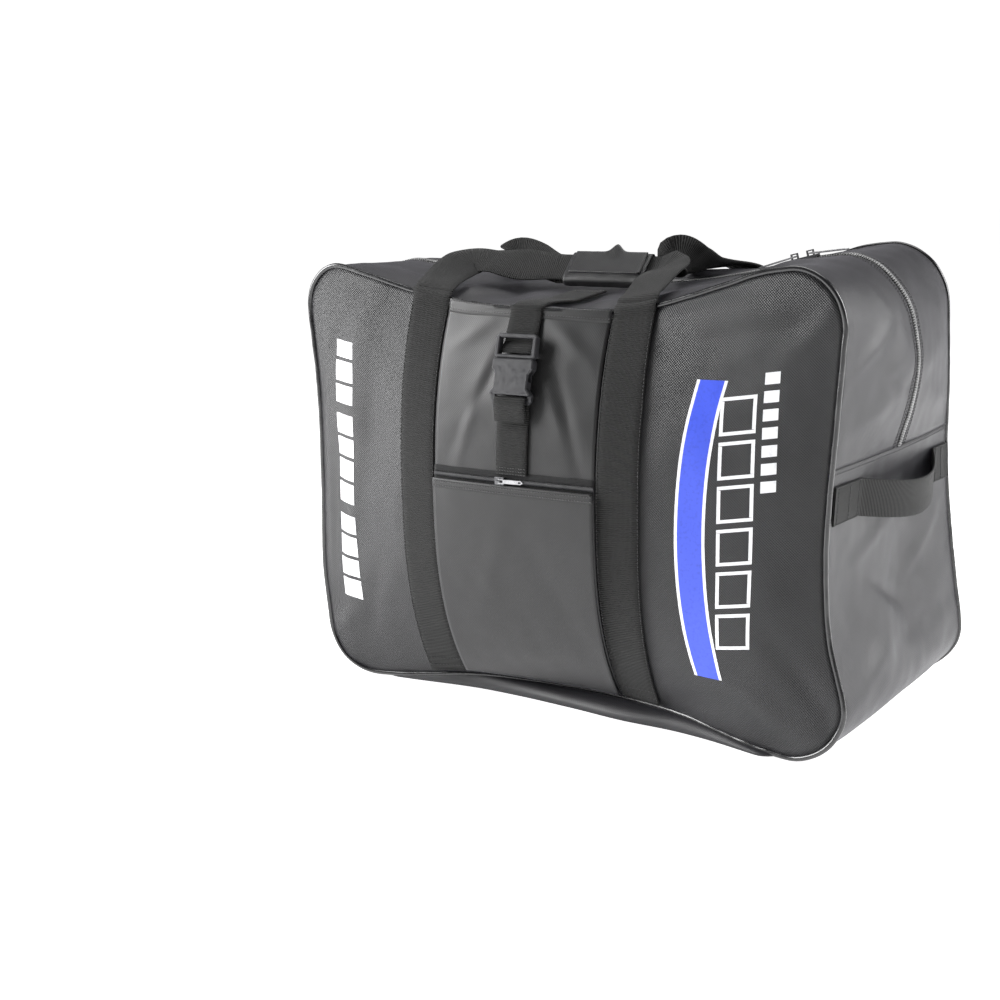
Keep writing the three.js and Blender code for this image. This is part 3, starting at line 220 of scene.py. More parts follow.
def outline(pieces, pitch):
    """Stations (x, z, outward x, outward z) along lines and quarter arcs of the nominal outline."""
    rows = []
    for piece in pieces:
        if len(piece) == 2:
            a, b = np.array(piece[0], float), np.array(piece[1], float)
            n = max(2, round(np.linalg.norm(b - a) / pitch))
            run = unit(b - a)
            for t in np.linspace(0, 1, n + 1):
                rows.append([*mix(a, b, t), run[1], -run[0]])
        else:
            start, end, centre = piece
            n = round(CORNER * abs(end - start) / pitch)
            for angle in np.linspace(start, end, n + 1):
                out = np.array([math.cos(angle), math.sin(angle)])
                rows.append([*(np.array(centre) + CORNER * out), *out])
    rows = np.array(rows)
    keep = np.append(True, np.linalg.norm(np.diff(rows[:, :2], axis=0), axis=1) > 1e-6)
    return rows[keep]


EDGE, INNER, QUARTER = WIDTH / 2, WIDTH / 2 - CORNER, math.pi / 2
LOWER_PATH = [
    ((-EDGE, CROSS_SEAM), (-EDGE, CORNER)),
    (-2 * QUARTER, -QUARTER, (-INNER, CORNER)),
    ((-INNER, 0), (INNER, 0)),
    (-QUARTER, 0, (INNER, CORNER)),
    ((EDGE, CORNER), (EDGE, CROSS_SEAM)),
]
UPPER_PATH = [
    ((EDGE, CROSS_SEAM), (EDGE, HEIGHT - CORNER)),
    (0, QUARTER, (INNER, HEIGHT - CORNER)),
    ((INNER, HEIGHT), (-INNER, HEIGHT)),
    (QUARTER, 2 * QUARTER, (-INNER, HEIGHT - CORNER)),
    ((-EDGE, HEIGHT - CORNER), (-EDGE, CROSS_SEAM)),
]


def gusset_crown(x, z, across):
    height, reach = z / HEIGHT, np.abs(x) / INNER
    right, left = [follow(END_HEIGHTS, END_CROWN[end], height) for end in (RIGHT, LEFT)]
    end = np.where(x > 0, right, left)
    top = follow(TOP_REACH, TOP_CROWN, np.clip(reach, 0, 1))
    flat = reach < 1
    rise = np.where(flat & (z > HEIGHT / 2), top, np.where(flat, 0, end)) * (1 - across**2)
    for side, place, level, tall, wide, size in END_FOLDS:
        dent = size * np.exp(-(((height - level) / tall) ** 2) - ((across - place) / wide) ** 2)
        rise = rise + np.where(~flat & (np.sign(x) == side), dent * (1 - across**2), 0)
    return DEPTH * rise


def gusset_point(stations, across):
    """Points of the gusset: stations along it, across from -1 at the front seam to 1 at the back one."""
    x, z, out_x, out_z = [stations[:, None, i] for i in range(4)]
    across = np.broadcast_to(across, (len(stations), np.shape(across)[-1]))
    lift = smooth(1 - (1 - np.abs(across)) * DEPTH / 2 / BOTTOM_ROUNDING)
    ends = []
    for side in (FRONT, BACK):
        depth = seam_point(side, x, z)[..., 1]
        ends.append(np.stack(np.broadcast_arrays(*warp(side, x, z, lift), depth), -1)[..., [0, 2, 1]])
    crown = gusset_crown(x, z, across)
    out = np.stack(np.broadcast_arrays(out_x * crown, 0 * crown, out_z * crown), -1)
    return mix(ends[0], ends[1], ((across + 1) / 2)[..., None]) + out


# Mesh making.
def make_mesh(name, points, faces, material, uvs=None):
    mesh = bpy.data.meshes.new(name)
    mesh.from_pydata((np.asarray(points, float).reshape(-1, 3) * MM).tolist(), [], [tuple(f) for f in faces])
    if uvs is not None:
        layer = mesh.uv_layers.new(name="cloth")
        corners = np.empty(len(mesh.loops), int)
        mesh.loops.foreach_get("vertex_index", corners)
        layer.data.foreach_set("uv", (np.asarray(uvs, float).reshape(-1, 2) * MM)[corners].ravel())
    mesh.polygons.foreach_set("use_smooth", [True] * len(mesh.polygons))
    mesh.materials.append(material)
    piece = bpy.data.objects.new(name, mesh)
    bpy.context.scene.collection.objects.link(piece)
    return piece


def grid_faces(rows, columns, ring=False):
    i, k = np.meshgrid(np.arange(rows - 1), np.arange(columns - (0 if ring else 1)), indexing="ij")
    right = (k + 1) % columns
    low, high = i * columns, (i + 1) * columns
    return np.stack([low + k, low + right, high + right, high + k], -1).reshape(-1, 4)


def grid_normals(grid):
    along, across = np.gradient(grid, axis=0), np.gradient(grid, axis=1)
    return unit(np.cross(along, across))


def lengths(grid):
    """Distances along and across a grid, for cloth coordinates."""
    along = np.linalg.norm(np.diff(grid, axis=0), axis=2).mean(1)
    across = np.linalg.norm(np.diff(grid, axis=1), axis=2).mean(0)
    v, u = np.append(0, np.cumsum(along)), np.append(0, np.cumsum(across))
    return np.stack(np.meshgrid(u, v), -1)


def thicken(piece, thickness):
    wall = piece.modifiers.new("wall", "SOLIDIFY")
    wall.thickness, wall.offset, wall.use_even_offset = thickness * MM, 0, True


def cloth(name, grid, material, thickness=1.2, uvs=None):
    uvs = lengths(grid) if uvs is None else uvs
    piece = make_mesh(name, grid, grid_faces(*grid.shape[:2]), material, uvs)
    thicken(piece, thickness)
    return piece


def webbing(name, grid, material, thickness=WEBBING):
    """A strap with rounded selvedges through rows of points across its width."""
    normals = grid_normals(grid)
    uv = lengths(grid)
    share = np.ones(grid.shape[1])
    share[[0, -1]] = 0.3
    offset = normals * (share * thickness / 2)[None, :, None]
    ring = np.concatenate([grid + offset, (grid - offset)[:, ::-1]], axis=1)
    uvs = np.concatenate([uv, uv[:, ::-1]], axis=1)
    rows, size = ring.shape[:2]
    faces = [*grid_faces(rows, size, ring=True).tolist()]
    half = size // 2
    for start, flip in ((0, False), ((rows - 1) * size, True)):
        for k in range(half - 1):
            quad = [start + k, start + k + 1, start + size - 2 - k, start + size - 1 - k]
            faces.append(quad[::-1] if flip else quad)
    return make_mesh(name, ring, faces, material, uvs)


def across_rows(width, count=9, edge=0.9):
    """Places across a strap, with a close pair at each selvedge."""
    inner = np.linspace(-width / 2 + edge, width / 2 - edge, count - 2)
    return np.concatenate([[-width / 2], inner, [width / 2]])


def tube(name, centres, radius, material, closed=False, sides=12):
    """A round cord through points."""
    run = np.roll(centres, -1, 0) - np.roll(centres, 1, 0) if closed else np.gradient(centres, axis=0)
    run = unit(run)
    side = unit(np.cross(run, [0, 1, 0]))
    up = np.cross(side, run)
    angles = np.linspace(0, 2 * math.pi, sides, endpoint=False)
    ring = centres[:, None] + radius * (
        np.cos(angles)[None, :, None] * side[:, None] + np.sin(angles)[None, :, None] * up[:, None]
    )
    length = np.append(0, np.cumsum(np.linalg.norm(np.diff(centres, axis=0), axis=1)))
    uvs = np.stack(np.meshgrid(angles * radius, length), -1)
    if closed:
        ring, uvs = np.concatenate([ring, ring[:1]]), np.concatenate([uvs, uvs[:1]])
    faces = grid_faces(*ring.shape[:2], ring=True).tolist()
    if not closed:
        faces += [list(range(sides))[::-1], [len(ring) * sides - sides + k for k in range(sides)]]
    return make_mesh(name, ring, faces, material, uvs)


def resample(points, pitch):
    """Points at an even pitch along a line, with their directions and the source's fractional rows."""
    points = np.asarray(points, float)
    run = np.append(0, np.cumsum(np.linalg.norm(np.diff(points, axis=0), axis=1)))
    count = max(2, int(run[-1] / pitch))
    at = (np.arange(count) + 0.5) * run[-1] / count
    place = np.stack([np.interp(at, run, points[:, i]) for i in range(3)], -1)
    ahead = np.stack([np.interp(np.minimum(at + 1, run[-1]), run, points[:, i]) for i in range(3)], -1)
    behind = np.stack([np.interp(np.maximum(at - 1, 0), run, points[:, i]) for i in range(3)], -1)
    return place, unit(ahead - behind), np.interp(at, run, np.arange(len(points)))


def stitches(name, lines, material, pitch=3.6, size=2.6, radius=0.38):
    """Rows of thread bites, each a small arched bead lying on the cloth. Lines are (points, normals)."""
    shape = np.array([(-1.0, -0.5), (-0.7, 0.35), (0.0, 0.6), (0.7, 0.35), (1.0, -0.5)])
    section = np.array([(-1, 0), (0, 1), (1, 0), (0, -1)])
    points, faces = [], []
    for line, normals in lines:
        place, run, row = resample(line, pitch)
        normals = np.asarray(normals, float)
        up = np.stack([np.interp(row, np.arange(len(normals)), normals[:, i]) for i in range(3)], -1)
        up = unit(up - run * np.sum(up * run, -1, keepdims=True))
        side = np.cross(run, up)
        thin = np.array([0.35, 0.9, 1, 0.9, 0.35])
        for p, r, u, s in zip(place, run, up, side):
            first = len(points)
            for (along, rise), share in zip(shape, thin):
                centre = p + r * along * size / 2 + u * rise * radius
                points += [centre + (s * a + u * b) * radius * share for a, b in section]
            faces += [[first + f for f in face] for face in BEAD_FACES]
    return make_mesh(name, points, faces, material)


BEAD_FACES = [*grid_faces(5, 4, ring=True).tolist(), [3, 2, 1, 0], [16, 17, 18, 19]]


# Materials.
class Nodes:
    """A material's nodes, with short calls for the ones used here."""

    def __init__(self, name, color, roughness):
        self.material = bpy.data.materials.new(name)
        self.material.use_nodes = True
        self.tree = self.material.node_tree
        self.shader = self.tree.nodes["Principled BSDF"]
        self.shader.inputs["Base Color"].default_value = (*color, 1)
        self.shader.inputs["Roughness"].default_value = roughness

    def add(self, kind, inputs=(), **settings):
        node = self.tree.nodes.new("ShaderNode" + kind)
        for key, value in settings.items():
            setattr(node, key, value)
        for key, value in dict(inputs).items():
            if isinstance(value, bpy.types.NodeSocket):
                self.tree.links.new(value, node.inputs[key])
            else:
                node.inputs[key].default_value = value
        return node

    def math(self, operation, a, b=0.0):
        return self.add("Math", {0: a, 1: b}, operation=operation).outputs[0]

    def uv(self):
        return self.add("UVMap", uv_map="cloth").outputs[0]

    def place(self):
        return self.add("TexCoord").outputs["Object"]

    def noise(self, vector, scale, detail=4.0, roughness=0.5):
        inputs = {"Vector": vector, "Scale": scale, "Detail": detail, "Roughness": roughness}
        return self.add("TexNoise", inputs).outputs["Fac"]

    def ramp(self, value, stops):
        node = self.add("ValToRGB", {"Fac": value})
        node.color_ramp.elements[0].position, node.color_ramp.elements[1].position = stops[0][0], stops[-1][0]
        for stop, (_, color) in zip(node.color_ramp.elements, (stops[0], stops[-1])):
            stop.color = (*color, 1)
        for position, color in stops[1:-1]:
            node.color_ramp.elements.new(position).color = (*color, 1)
        return node.outputs["Color"]

    def weave(self, vector, pitch):
        """A woven height: yarns over and under at a pitch in millimetres."""
        split = self.add("SeparateXYZ", {0: vector})
        turn = 2 * math.pi / (pitch * MM)
        u = self.math("SINE", self.math("MULTIPLY", split.outputs[0], turn))
        v = self.math("SINE", self.math("MULTIPLY", split.outputs[1], turn))
        return self.math("MULTIPLY", u, v)

    def link(self, socket, name):
        self.tree.links.new(socket, self.shader.inputs[name])

    def bumps(self, *layers):
        """Bump layers of (height, strength, distance in millimetres), each on the last."""
        normal = None
        for height, strength, distance in layers:
            inputs = {"Height": height, "Strength": strength, "Distance": distance * MM}
            if normal:
                inputs["Normal"] = normal
            normal = self.add("Bump", inputs).outputs[0]
        self.link(normal, "Normal")

    def set(self, **values):
        for key, value in values.items():
            self.shader.inputs[key.replace("_", " ")].default_value = value
        return self


def nylon(name, dark, light, roughness=0.42, pitch=2.6, sheen=0.06, weave=0.5):
    """Coated woven cloth: yarns crossing on the slant, slubs, slow tone changes and a soft sheen."""
    m = Nodes(name, dark, roughness)
    uv, place = m.uv(), m.place()
    yarn = m.weave(uv, pitch)
    slow = m.noise(place, 9, 5)
    slub = m.noise(uv, 900, 2)
    tone = m.math("ADD", m.math("MULTIPLY", slow, 0.7), m.math("MULTIPLY", yarn, 0.3 * weave))
    tone = m.math("ADD", tone, m.math("MULTIPLY", slub, 0.14))
    m.link(m.ramp(tone, [(0.2, dark), (0.8, light)]), "Base Color")
    rough = m.math("ADD", m.math("MULTIPLY", slow, 0.16), m.math("MULTIPLY", yarn, -0.12 * weave))
    m.link(m.math("ADD", rough, roughness - 0.08), "Roughness")
    crinkle = m.noise(place, 55, 6, 0.6)
    m.bumps((crinkle, 0.14, 1.6), (slub, 0.1, 0.3), (yarn, weave, 0.35))
    m.set(Sheen_Weight=sheen, Sheen_Roughness=0.4, Sheen_Tint=(0.9, 0.88, 1, 1), Specular_IOR_Level=0.5)
    return m.material


def ribbed_web(name, dark, light, ribs=2.1, roughness=0.62):
    """Webbing: ribs across its width and a finer yarn in each rib."""
    m = Nodes(name, dark, roughness)
    uv = m.uv()
    split = m.add("SeparateXYZ", {0: uv})
    turn = 2 * math.pi / MM
    rib = m.math("SINE", m.math("MULTIPLY", split.outputs[1], turn / ribs))
    yarn = m.math("SINE", m.math("MULTIPLY", split.outputs[0], turn / 1.3))
    fuzz = m.noise(uv, 700, 3)
    tone = m.math("ADD", m.math("MULTIPLY", rib, 0.2), m.math("MULTIPLY", fuzz, 0.8))
    m.link(m.ramp(tone, [(0.1, dark), (0.75, light)]), "Base Color")
    height = m.math("ADD", rib, m.math("MULTIPLY", yarn, 0.4))
    m.bumps((m.noise(m.place(), 40, 3), 0.15, 2.0), (height, 0.8, 0.35), (fuzz, 0.3, 0.2))
    m.set(Sheen_Weight=0.08, Sheen_Roughness=0.5, Specular_IOR_Level=0.22)
    return m.material


def vinyl(name):
    m = Nodes(name, (0.006, 0.006, 0.007), 0.22)
    m.bumps((m.noise(m.place(), 260, 4), 0.2, 0.4), (m.noise(m.place(), 1500, 2), 0.12, 0.1))
    m.link(m.ramp(m.noise(m.place(), 60, 4), [(0.3, (0.16,) * 3), (0.7, (0.34,) * 3)]), "Roughness")
    m.set(Specular_IOR_Level=0.6, Coat_Weight=0.3, Coat_Roughness=0.15)
    return m.material


def moulded(name, dark, light, roughness=0.38):
    m = Nodes(name, dark, roughness)
    grain = m.noise(m.place(), 900, 3)
    m.link(m.ramp(m.noise(m.place(), 70, 5), [(0.3, dark), (0.7, light)]), "Base Color")
    m.bumps((grain, 0.12, 0.1))
    worn = m.noise(m.place(), 160, 4)
    m.link(m.ramp(worn, [(0.3, (roughness - 0.08,) * 3), (0.7, (roughness + 0.1,) * 3)]), "Roughness")
    return m.material


def plated(name, dark, light, roughness=0.3):
    m = Nodes(name, dark, roughness)
    worn = m.noise(m.place(), 240, 5)
    m.link(m.ramp(worn, [(0.35, dark), (0.75, light)]), "Base Color")
    m.link(m.ramp(worn, [(0.3, (roughness - 0.1,) * 3), (0.7, (roughness + 0.14,) * 3)]), "Roughness")
    m.bumps((m.noise(m.place(), 1200, 3), 0.1, 0.08))
    m.set(Metallic=1.0)
    return m.material


def thread(name, color):
    m = Nodes(name, color, 0.55)
    fibres, bright = m.noise(m.place(), 1500, 2), tuple(c * 1.7 for c in color)
    m.link(m.ramp(fibres, [(0.3, color), (0.7, bright)]), "Base Color")
    m.bumps((m.noise(m.place(), 2500, 2), 0.4, 0.1))
    m.set(Sheen_Weight=0.3)
    return m.material


def printed(name, color, roughness=0.4):
    """Screen ink on cloth: the weave shows through it a little, with fine pinholes."""
    m = Nodes(name, color, roughness)
    yarn = m.weave(m.place(), 1.4)
    wear = m.noise(m.place(), 300, 5)
    m.link(m.ramp(wear, [(0.25, tuple(c * 0.82 for c in color)), (0.5, color)]), "Base Color")
    m.bumps((yarn, 0.12, 0.2), (wear, 0.1, 0.2))
    return m.material


NYLON = nylon("nylon_front", (0.003, 0.003, 0.0035), (0.014, 0.014, 0.016), roughness=0.4, weave=0.7)
NYLON_SIDE = nylon("nylon_side", (0.007, 0.007, 0.008), (0.024, 0.023, 0.027), roughness=0.46, weave=0.25)
NYLON_POCKET = nylon("nylon_pocket", (0.004, 0.004, 0.004), (0.015, 0.015, 0.016), roughness=0.46, weave=0.25)
WEB = ribbed_web("webbing_black", (0.0015, 0.0015, 0.0015), (0.008, 0.008, 0.0075))
VINYL = vinyl("piping_vinyl")
PLASTIC = moulded("buckle_plastic", (0.018, 0.018, 0.02), (0.034, 0.034, 0.037))
COIL = moulded("zipper_coil", (0.12, 0.12, 0.12), (0.26, 0.26, 0.26), 0.32)
TAPE = ribbed_web("zipper_tape_cloth", (0.003, 0.003, 0.003), (0.012, 0.012, 0.013), ribs=1.2)
GUNMETAL = plated("zipper_metal", (0.09, 0.09, 0.095), (0.2, 0.2, 0.205))
BRIGHT_METAL = plated("pull_metal", (0.3, 0.3, 0.31), (0.5, 0.5, 0.51), 0.24)
THREAD = thread("thread_black", (0.006, 0.006, 0.0065))
WHITE_INK = printed("ink_white", (0.78, 0.78, 0.8))
BLUE_INK = printed("ink_blue", (0.045, 0.085, 0.62))


def finish_piece(piece, node, body="bag"):
    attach(piece, body)
    if node:
        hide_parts(node)
    return piece


def ripple(points, scale, seed, stretch=(1, 1, 1)):
    """Seeded noise in -1..1 at each point; stretch squeezes the pattern along the axes."""
    flat = np.asarray(points, float).reshape(-1, 3) * np.asarray(stretch) / scale + seed * 17.3
    values = [noise.noise(Vector(p)) for p in flat]
    return np.array(values).reshape(np.shape(points)[:-1])


# Panels.
def inset_grid(inset, pitch):
    """A grid over the nominal rounded outline, drawn in by an inset."""
    a, b, corner = EDGE - inset, HEIGHT / 2 - inset, CORNER - inset
    u = np.linspace(-1, 1, round(2 * a / pitch) + 1)
    v = np.linspace(-1, 1, round(2 * b / pitch) + 1)
    x, z = np.meshgrid(u * a, v * b)
    far = np.maximum(np.abs(x) / a, np.abs(z) / b)
    far = np.where(far == 0, 1, far)
    edge_x, edge_z = np.abs(x) / far, np.abs(z) / far
    in_corner = (edge_x > a - corner) & (edge_z > b - corner)
    # The ray to the rectangle's edge point meets the corner arc at this share of the way.
    cx, cz = a - corner, b - corner
    qa = edge_x**2 + edge_z**2
    qb = -2 * (edge_x * cx + edge_z * cz)
    qc = cx**2 + cz**2 - corner**2
    root = np.sqrt(np.maximum(qb**2 - 4 * qa * qc, 0))
    share = np.where(in_corner, np.minimum(1, (-qb + root) / (2 * qa)), 1)
    return x * share, z * share + HEIGHT / 2


# Small creases of the panels: side, x, z, long, wide, lean in degrees, rise in millimetres.
CREASES = [
    (FRONT, -0.455, 0.55, 0.3, 0.012, 88, 2.2),
    (FRONT, -0.43, 0.44, 0.22, 0.014, 84, -2.4),
    (FRONT, -0.40, 0.35, 0.2, 0.016, 80, 2.0),
    (FRONT, -0.36, 0.2, 0.16, 0.02, 70, -1.8),
    (FRONT, -0.41, 0.84, 0.12, 0.016, 60, -2.6),
    (FRONT, -0.35, 0.9, 0.1, 0.018, 42, 2.2),
    (FRONT, -0.45, 0.12, 0.1, 0.018, 35, 2.0),
    (FRONT, 0.2, 0.9, 0.16, 0.02, 8, 3.0),
    (FRONT, 0.3, 0.86, 0.16, 0.016, 12, -2.6),
    (FRONT, 0.42, 0.88, 0.1, 0.016, 48, 2.2),
    (FRONT, 0.44, 0.7, 0.14, 0.014, 80, -1.8),
    (FRONT, 0.45, 0.5, 0.16, 0.014, 92, 1.8),
    (FRONT, 0.43, 0.16, 0.14, 0.018, 130, -2.4),
    (FRONT, 0.37, 0.1, 0.12, 0.018, 150, 2.0),
    (FRONT, 0.22, 0.08, 0.14, 0.016, 12, -1.6),
    (BACK, -0.42, 0.5, 0.24, 0.02, 88, 2.4),
    (BACK, -0.38, 0.8, 0.14, 0.02, 55, -2.4),
    (BACK, 0.42, 0.55, 0.24, 0.02, 95, 2.2),
    (BACK, 0.36, 0.16, 0.16, 0.02, 140, -2.4),
    (BACK, 0.4, 0.84, 0.12, 0.02, 130, 2.4),
    (BACK, 0.02, 0.5, 0.3, 0.03, 20, 1.8),
    (BACK, 0.0, 0.75, 0.2, 0.03, -14, -2.0),
]


def leg_x(end):
    return HANDLE_SHIFT + end * HANDLE_SPACING / 2


def free_of_covers(side, x):
    """1 where the panel shows, 0 under the handle legs and the pockets, which lie flat on it."""
    inner, outer = leg_x(LEFT) - HANDLE_WIDTH / 2, leg_x(RIGHT) + HANDLE_WIDTH / 2
    if side == FRONT:
        return smooth((np.maximum(inner - x, x - outer)) / 14)
    near = np.minimum(np.abs(x - leg_x(LEFT)), np.abs(x - leg_x(RIGHT)))
    return smooth((near - HANDLE_WIDTH / 2) / 14)


def panel_face(side, x, z, off=0.0):
    """Points of the creased panel cloth, a distance off its middle."""
    points = panel_point(side, x, z)
    rise = sum(row[-1] * bump(x, z, row[1:6]) for row in CREASES if row[0] == side)
    rise = rise + 1.6 * ripple(points, 70, 3 + side) + 0.7 * ripple(points, 24, 8 + side, (1, 1, 0.6))
    border = np.minimum(half_width(side, x, z / HEIGHT) - np.abs(x), np.minimum(z, top_line(side, x) - z))
    pucker = 0.9 * ripple(points, 11, 5 + side, (1, 0.3, 1)) * np.exp(-np.maximum(border, 0) / 12)
    mask = free_of_covers(side, x) * smooth(border / 16)
    return points + panel_normal(side, x, z) * ((rise + pucker) * mask + off)[..., None]


def make_panel(side, name):
    x, z = warp(side, *inset_grid(PIPING, 4.5))
    points, uvs = panel_face(side, x, z)[:, :: -side], np.stack([x, z], -1)[:, :: -side]
    return finish_piece(cloth(name, points, NYLON, uvs=uvs), PANEL_NODE[side])


PANEL_NODE = {FRONT: "front_panel", BACK: "back_panel"}
make_panel(FRONT, "front_cloth")
make_panel(BACK, "back_cloth")

# Screen prints on the front: plain stripes and blocks, each a thin film on the cloth.
PRINT_LIFT = 0.8
FILM_PITCH = 4.0


def film_patch(corners):
    """A grid over a four-cornered patch of the front, given as (x, z) corners in order."""
    a, b, c, d = [np.array(corner, float) for corner in corners]
    rows = max(2, round(np.linalg.norm(d - a) / FILM_PITCH) + 1)
    columns = max(2, round(np.linalg.norm(b - a) / FILM_PITCH) + 1)
    v, u = np.meshgrid(np.linspace(0, 1, rows), np.linspace(0, 1, columns), indexing="ij")
    flat = mix(mix(a, b, u[..., None]), mix(d, c, u[..., None]), v[..., None])
    return panel_face(FRONT, flat[..., 0], flat[..., 1], PRINT_LIFT)


def film(name, patches, material):
    """One printed film made of several patches."""
    points, faces = [], []
    for patch in patches:
        first = len(points)
        points += patch.reshape(-1, 3).tolist()
        faces += (grid_faces(*patch.shape[:2]) + first).tolist()
    return finish_piece(make_mesh(name, points, faces, material), None)


def slanted(x0, x1, z0, z1, slant=0.0):
    """The corners of a block whose top and bottom edges climb by a slant."""
    return [(x0, z0), (x1, z0 + slant), (x1, z1 + slant), (x0, z1)]


def framed(x0, x1, z0, z1, line, slant=0.0):
    """The four bars of a block's outline."""
    low, high = z0 + line, z1 - line
    return [
        slanted(x0, x1, z0, low, slant),
        slanted(x0, x1, high, z1, slant),
        slanted(x0, x0 + line, low, high),
        slanted(x1 - line, x1, low + slant, high + slant),
    ]


BAND_X, BAND_WIDTH, BAND_BOW, BAND_LOW, BAND_HIGH = 146, 24, 16, 72, 366
KEYLINE = 3


def band_strip(low_share, high_share):
    """Patches of the bowed blue band between two shares of its width."""
    levels = np.linspace(BAND_LOW, BAND_HIGH, 25)
    bow = BAND_BOW * (2 * (levels - BAND_LOW) / (BAND_HIGH - BAND_LOW) - 1) ** 2
    left, right = BAND_X + bow + low_share * BAND_WIDTH, BAND_X + bow + high_share * BAND_WIDTH
    left, right = list(zip(left, levels)), list(zip(right, levels))
    return [film_patch([left[i], right[i], right[i + 1], left[i + 1]]) for i in range(len(levels) - 1)]


BLOCKS = [(184, 218, z, z + 36, 3.4) for z in np.arange(104, 350, 42)]
DASHES = [(224, 238, z, z + 11) for z in np.arange(262, 374, 17)]
BADGE_LOWS = [96, 122, 146, 172, 206, 232, 258, 282, 316, 340, 366]
BADGE_TALLS = [22, 20, 22, 20, 22, 22, 20, 22, 20, 22, 18]
BADGES = [(-270, -244, z, z + tall) for z, tall in zip(BADGE_LOWS, BADGE_TALLS)]
edge_share = KEYLINE / BAND_WIDTH
film("print_band", band_strip(0, 1), BLUE_INK)
white = band_strip(-edge_share, 0) + band_strip(1, 1 + edge_share)
for x0, x1, z0, z1, line in BLOCKS:
    white += [film_patch(bar) for bar in framed(x0, x1, z0, z1, line, 5)]
white += [film_patch(slanted(*dash, 2)) for dash in DASHES]
white += [film_patch(slanted(*badge, -3)) for badge in BADGES]
film("print_white", white, WHITE_INK)

# Piping along each seam.
around = np.concatenate([outline(LOWER_PATH, 4)[:-1], outline(UPPER_PATH, 4)[:-1]])
for side, node in ((FRONT, "piping_front"), (BACK, "piping_back")):
    line = seam_point(side, around[:, 0], around[:, 1])
    line = line + 0.35 * np.stack([ripple(line, 16, 31), ripple(line, 16, 32), ripple(line, 16, 33)], -1)
    finish_piece(tube(node + "_cord", line, PIPING + 0.3, VINYL, closed=True, sides=14), node)

# Gussets. Creases of the lower band: nominal height share or x share, across, sizes, rise in millimetres.
END_CREASES = [
    (RIGHT, 0.16, -0.55, 0.05, 0.3, 25, 3.0),
    (RIGHT, 0.3, -0.1, 0.04, 0.34, -28, -3.2),
    (RIGHT, 0.42, -0.3, 0.035, 0.26, 18, 2.8),
    (RIGHT, 0.45, 0.35, 0.04, 0.3, -12, -3.0),
    (RIGHT, 0.36, 0.55, 0.035, 0.3, 40, 2.6),
    (RIGHT, 0.2, 0.5, 0.05, 0.36, 8, -3.0),
    (RIGHT, 0.7, -0.55, 0.05, 0.22, 14, 2.4),
    (RIGHT, 0.76, -0.35, 0.03, 0.24, -22, -2.4),
    (RIGHT, 0.84, -0.6, 0.03, 0.3, 30, 2.6),
    (RIGHT, 0.68, 0.6, 0.05, 0.26, -18, 2.4),
    (LEFT, 0.2, -0.3, 0.05, 0.34, 22, 3.0),
    (LEFT, 0.38, 0.3, 0.04, 0.36, -20, -3.0),
    (LEFT, 0.46, -0.4, 0.04, 0.3, 14, 2.6),
    (LEFT, 0.74, 0.4, 0.04, 0.3, -20, -2.4),
    (LEFT, 0.8, -0.4, 0.04, 0.3, 20, 2.4),
]
# Creases of the top: x share of the width, across, sizes, rise in millimetres.
TOP_CREASES = [
    (-0.2, -0.72, 0.02, 0.16, 3.4),
    (-0.13, -0.6, 0.025, 0.2, -4.0),
    (-0.07, -0.8, 0.02, 0.14, 3.6),
    (0.0, -0.62, 0.03, 0.2, -4.2),
    (0.06, -0.85, 0.02, 0.14, 3.4),
    (0.22, -0.8, 0.09, 0.12, 5.0),
    (0.3, -0.62, 0.08, 0.1, -4.2),
    (0.34, -0.45, 0.07, 0.12, 4.0),
    (-0.32, -0.7, 0.06, 0.14, 4.2),
    (-0.3, -0.5, 0.05, 0.12, -3.4),
    (-0.2, 0.6, 0.05, 0.2, 4.0),
    (0.05, 0.7, 0.06, 0.2, -3.6),
    (0.25, 0.62, 0.06, 0.2, 3.8),
    (0.13, 0.42, 0.07, 0.4, 8.0),
    (-0.22, 0.42, 0.06, 0.4, 5.0),
]


def gusset_rise(stations, across, points):
    """The small creases of the gusset, in millimetres."""
    x, z, across = np.broadcast_arrays(stations[:, None, 0], stations[:, None, 1], across)
    end = smooth((np.abs(x) - INNER) / 30)
    top = (1 - end) * (z > HEIGHT / 2)
    rise = 0 * across
    for side, level, place, tall, wide, lean, size in END_CREASES:
        turn = math.radians(lean)
        up, off = (z / HEIGHT - level) * HEIGHT, (across - place) * DEPTH / 2
        along, away = off * math.cos(turn) + up * math.sin(turn), up * math.cos(turn) - off * math.sin(turn)
        ridge = np.exp(-((along / (wide * DEPTH / 2)) ** 2) - (away / (tall * HEIGHT / 2)) ** 2)
        rise = rise + np.where(np.sign(x) == side, size * ridge * end, 0)
    for place, far, wide, deep, size in TOP_CREASES:
        ridge = np.exp(-(((x / WIDTH - place) / wide) ** 2) - ((across - far) / deep) ** 2)
        rise = rise + size * ridge * top
    rise = rise + 1.7 * ripple(points, 55, 12) * (end + top) + 0.8 * ripple(points, 20, 14)
    rim = (1 - np.abs(across)) * DEPTH / 2
    return rise * smooth(rim / 10)


# Where the bottom's front edge meets the floor: x, then how far forward it rolls out under the front seam.
ROLL_X = [-300, -200, -122, -72, 3, 65, 131, 176, 254, 300]
ROLL_OUT = [0, 3, 6, 13, 24, 27, 15, 10, 9, 0]
ROLL_RUN, ROLL_BACK = 20, 42


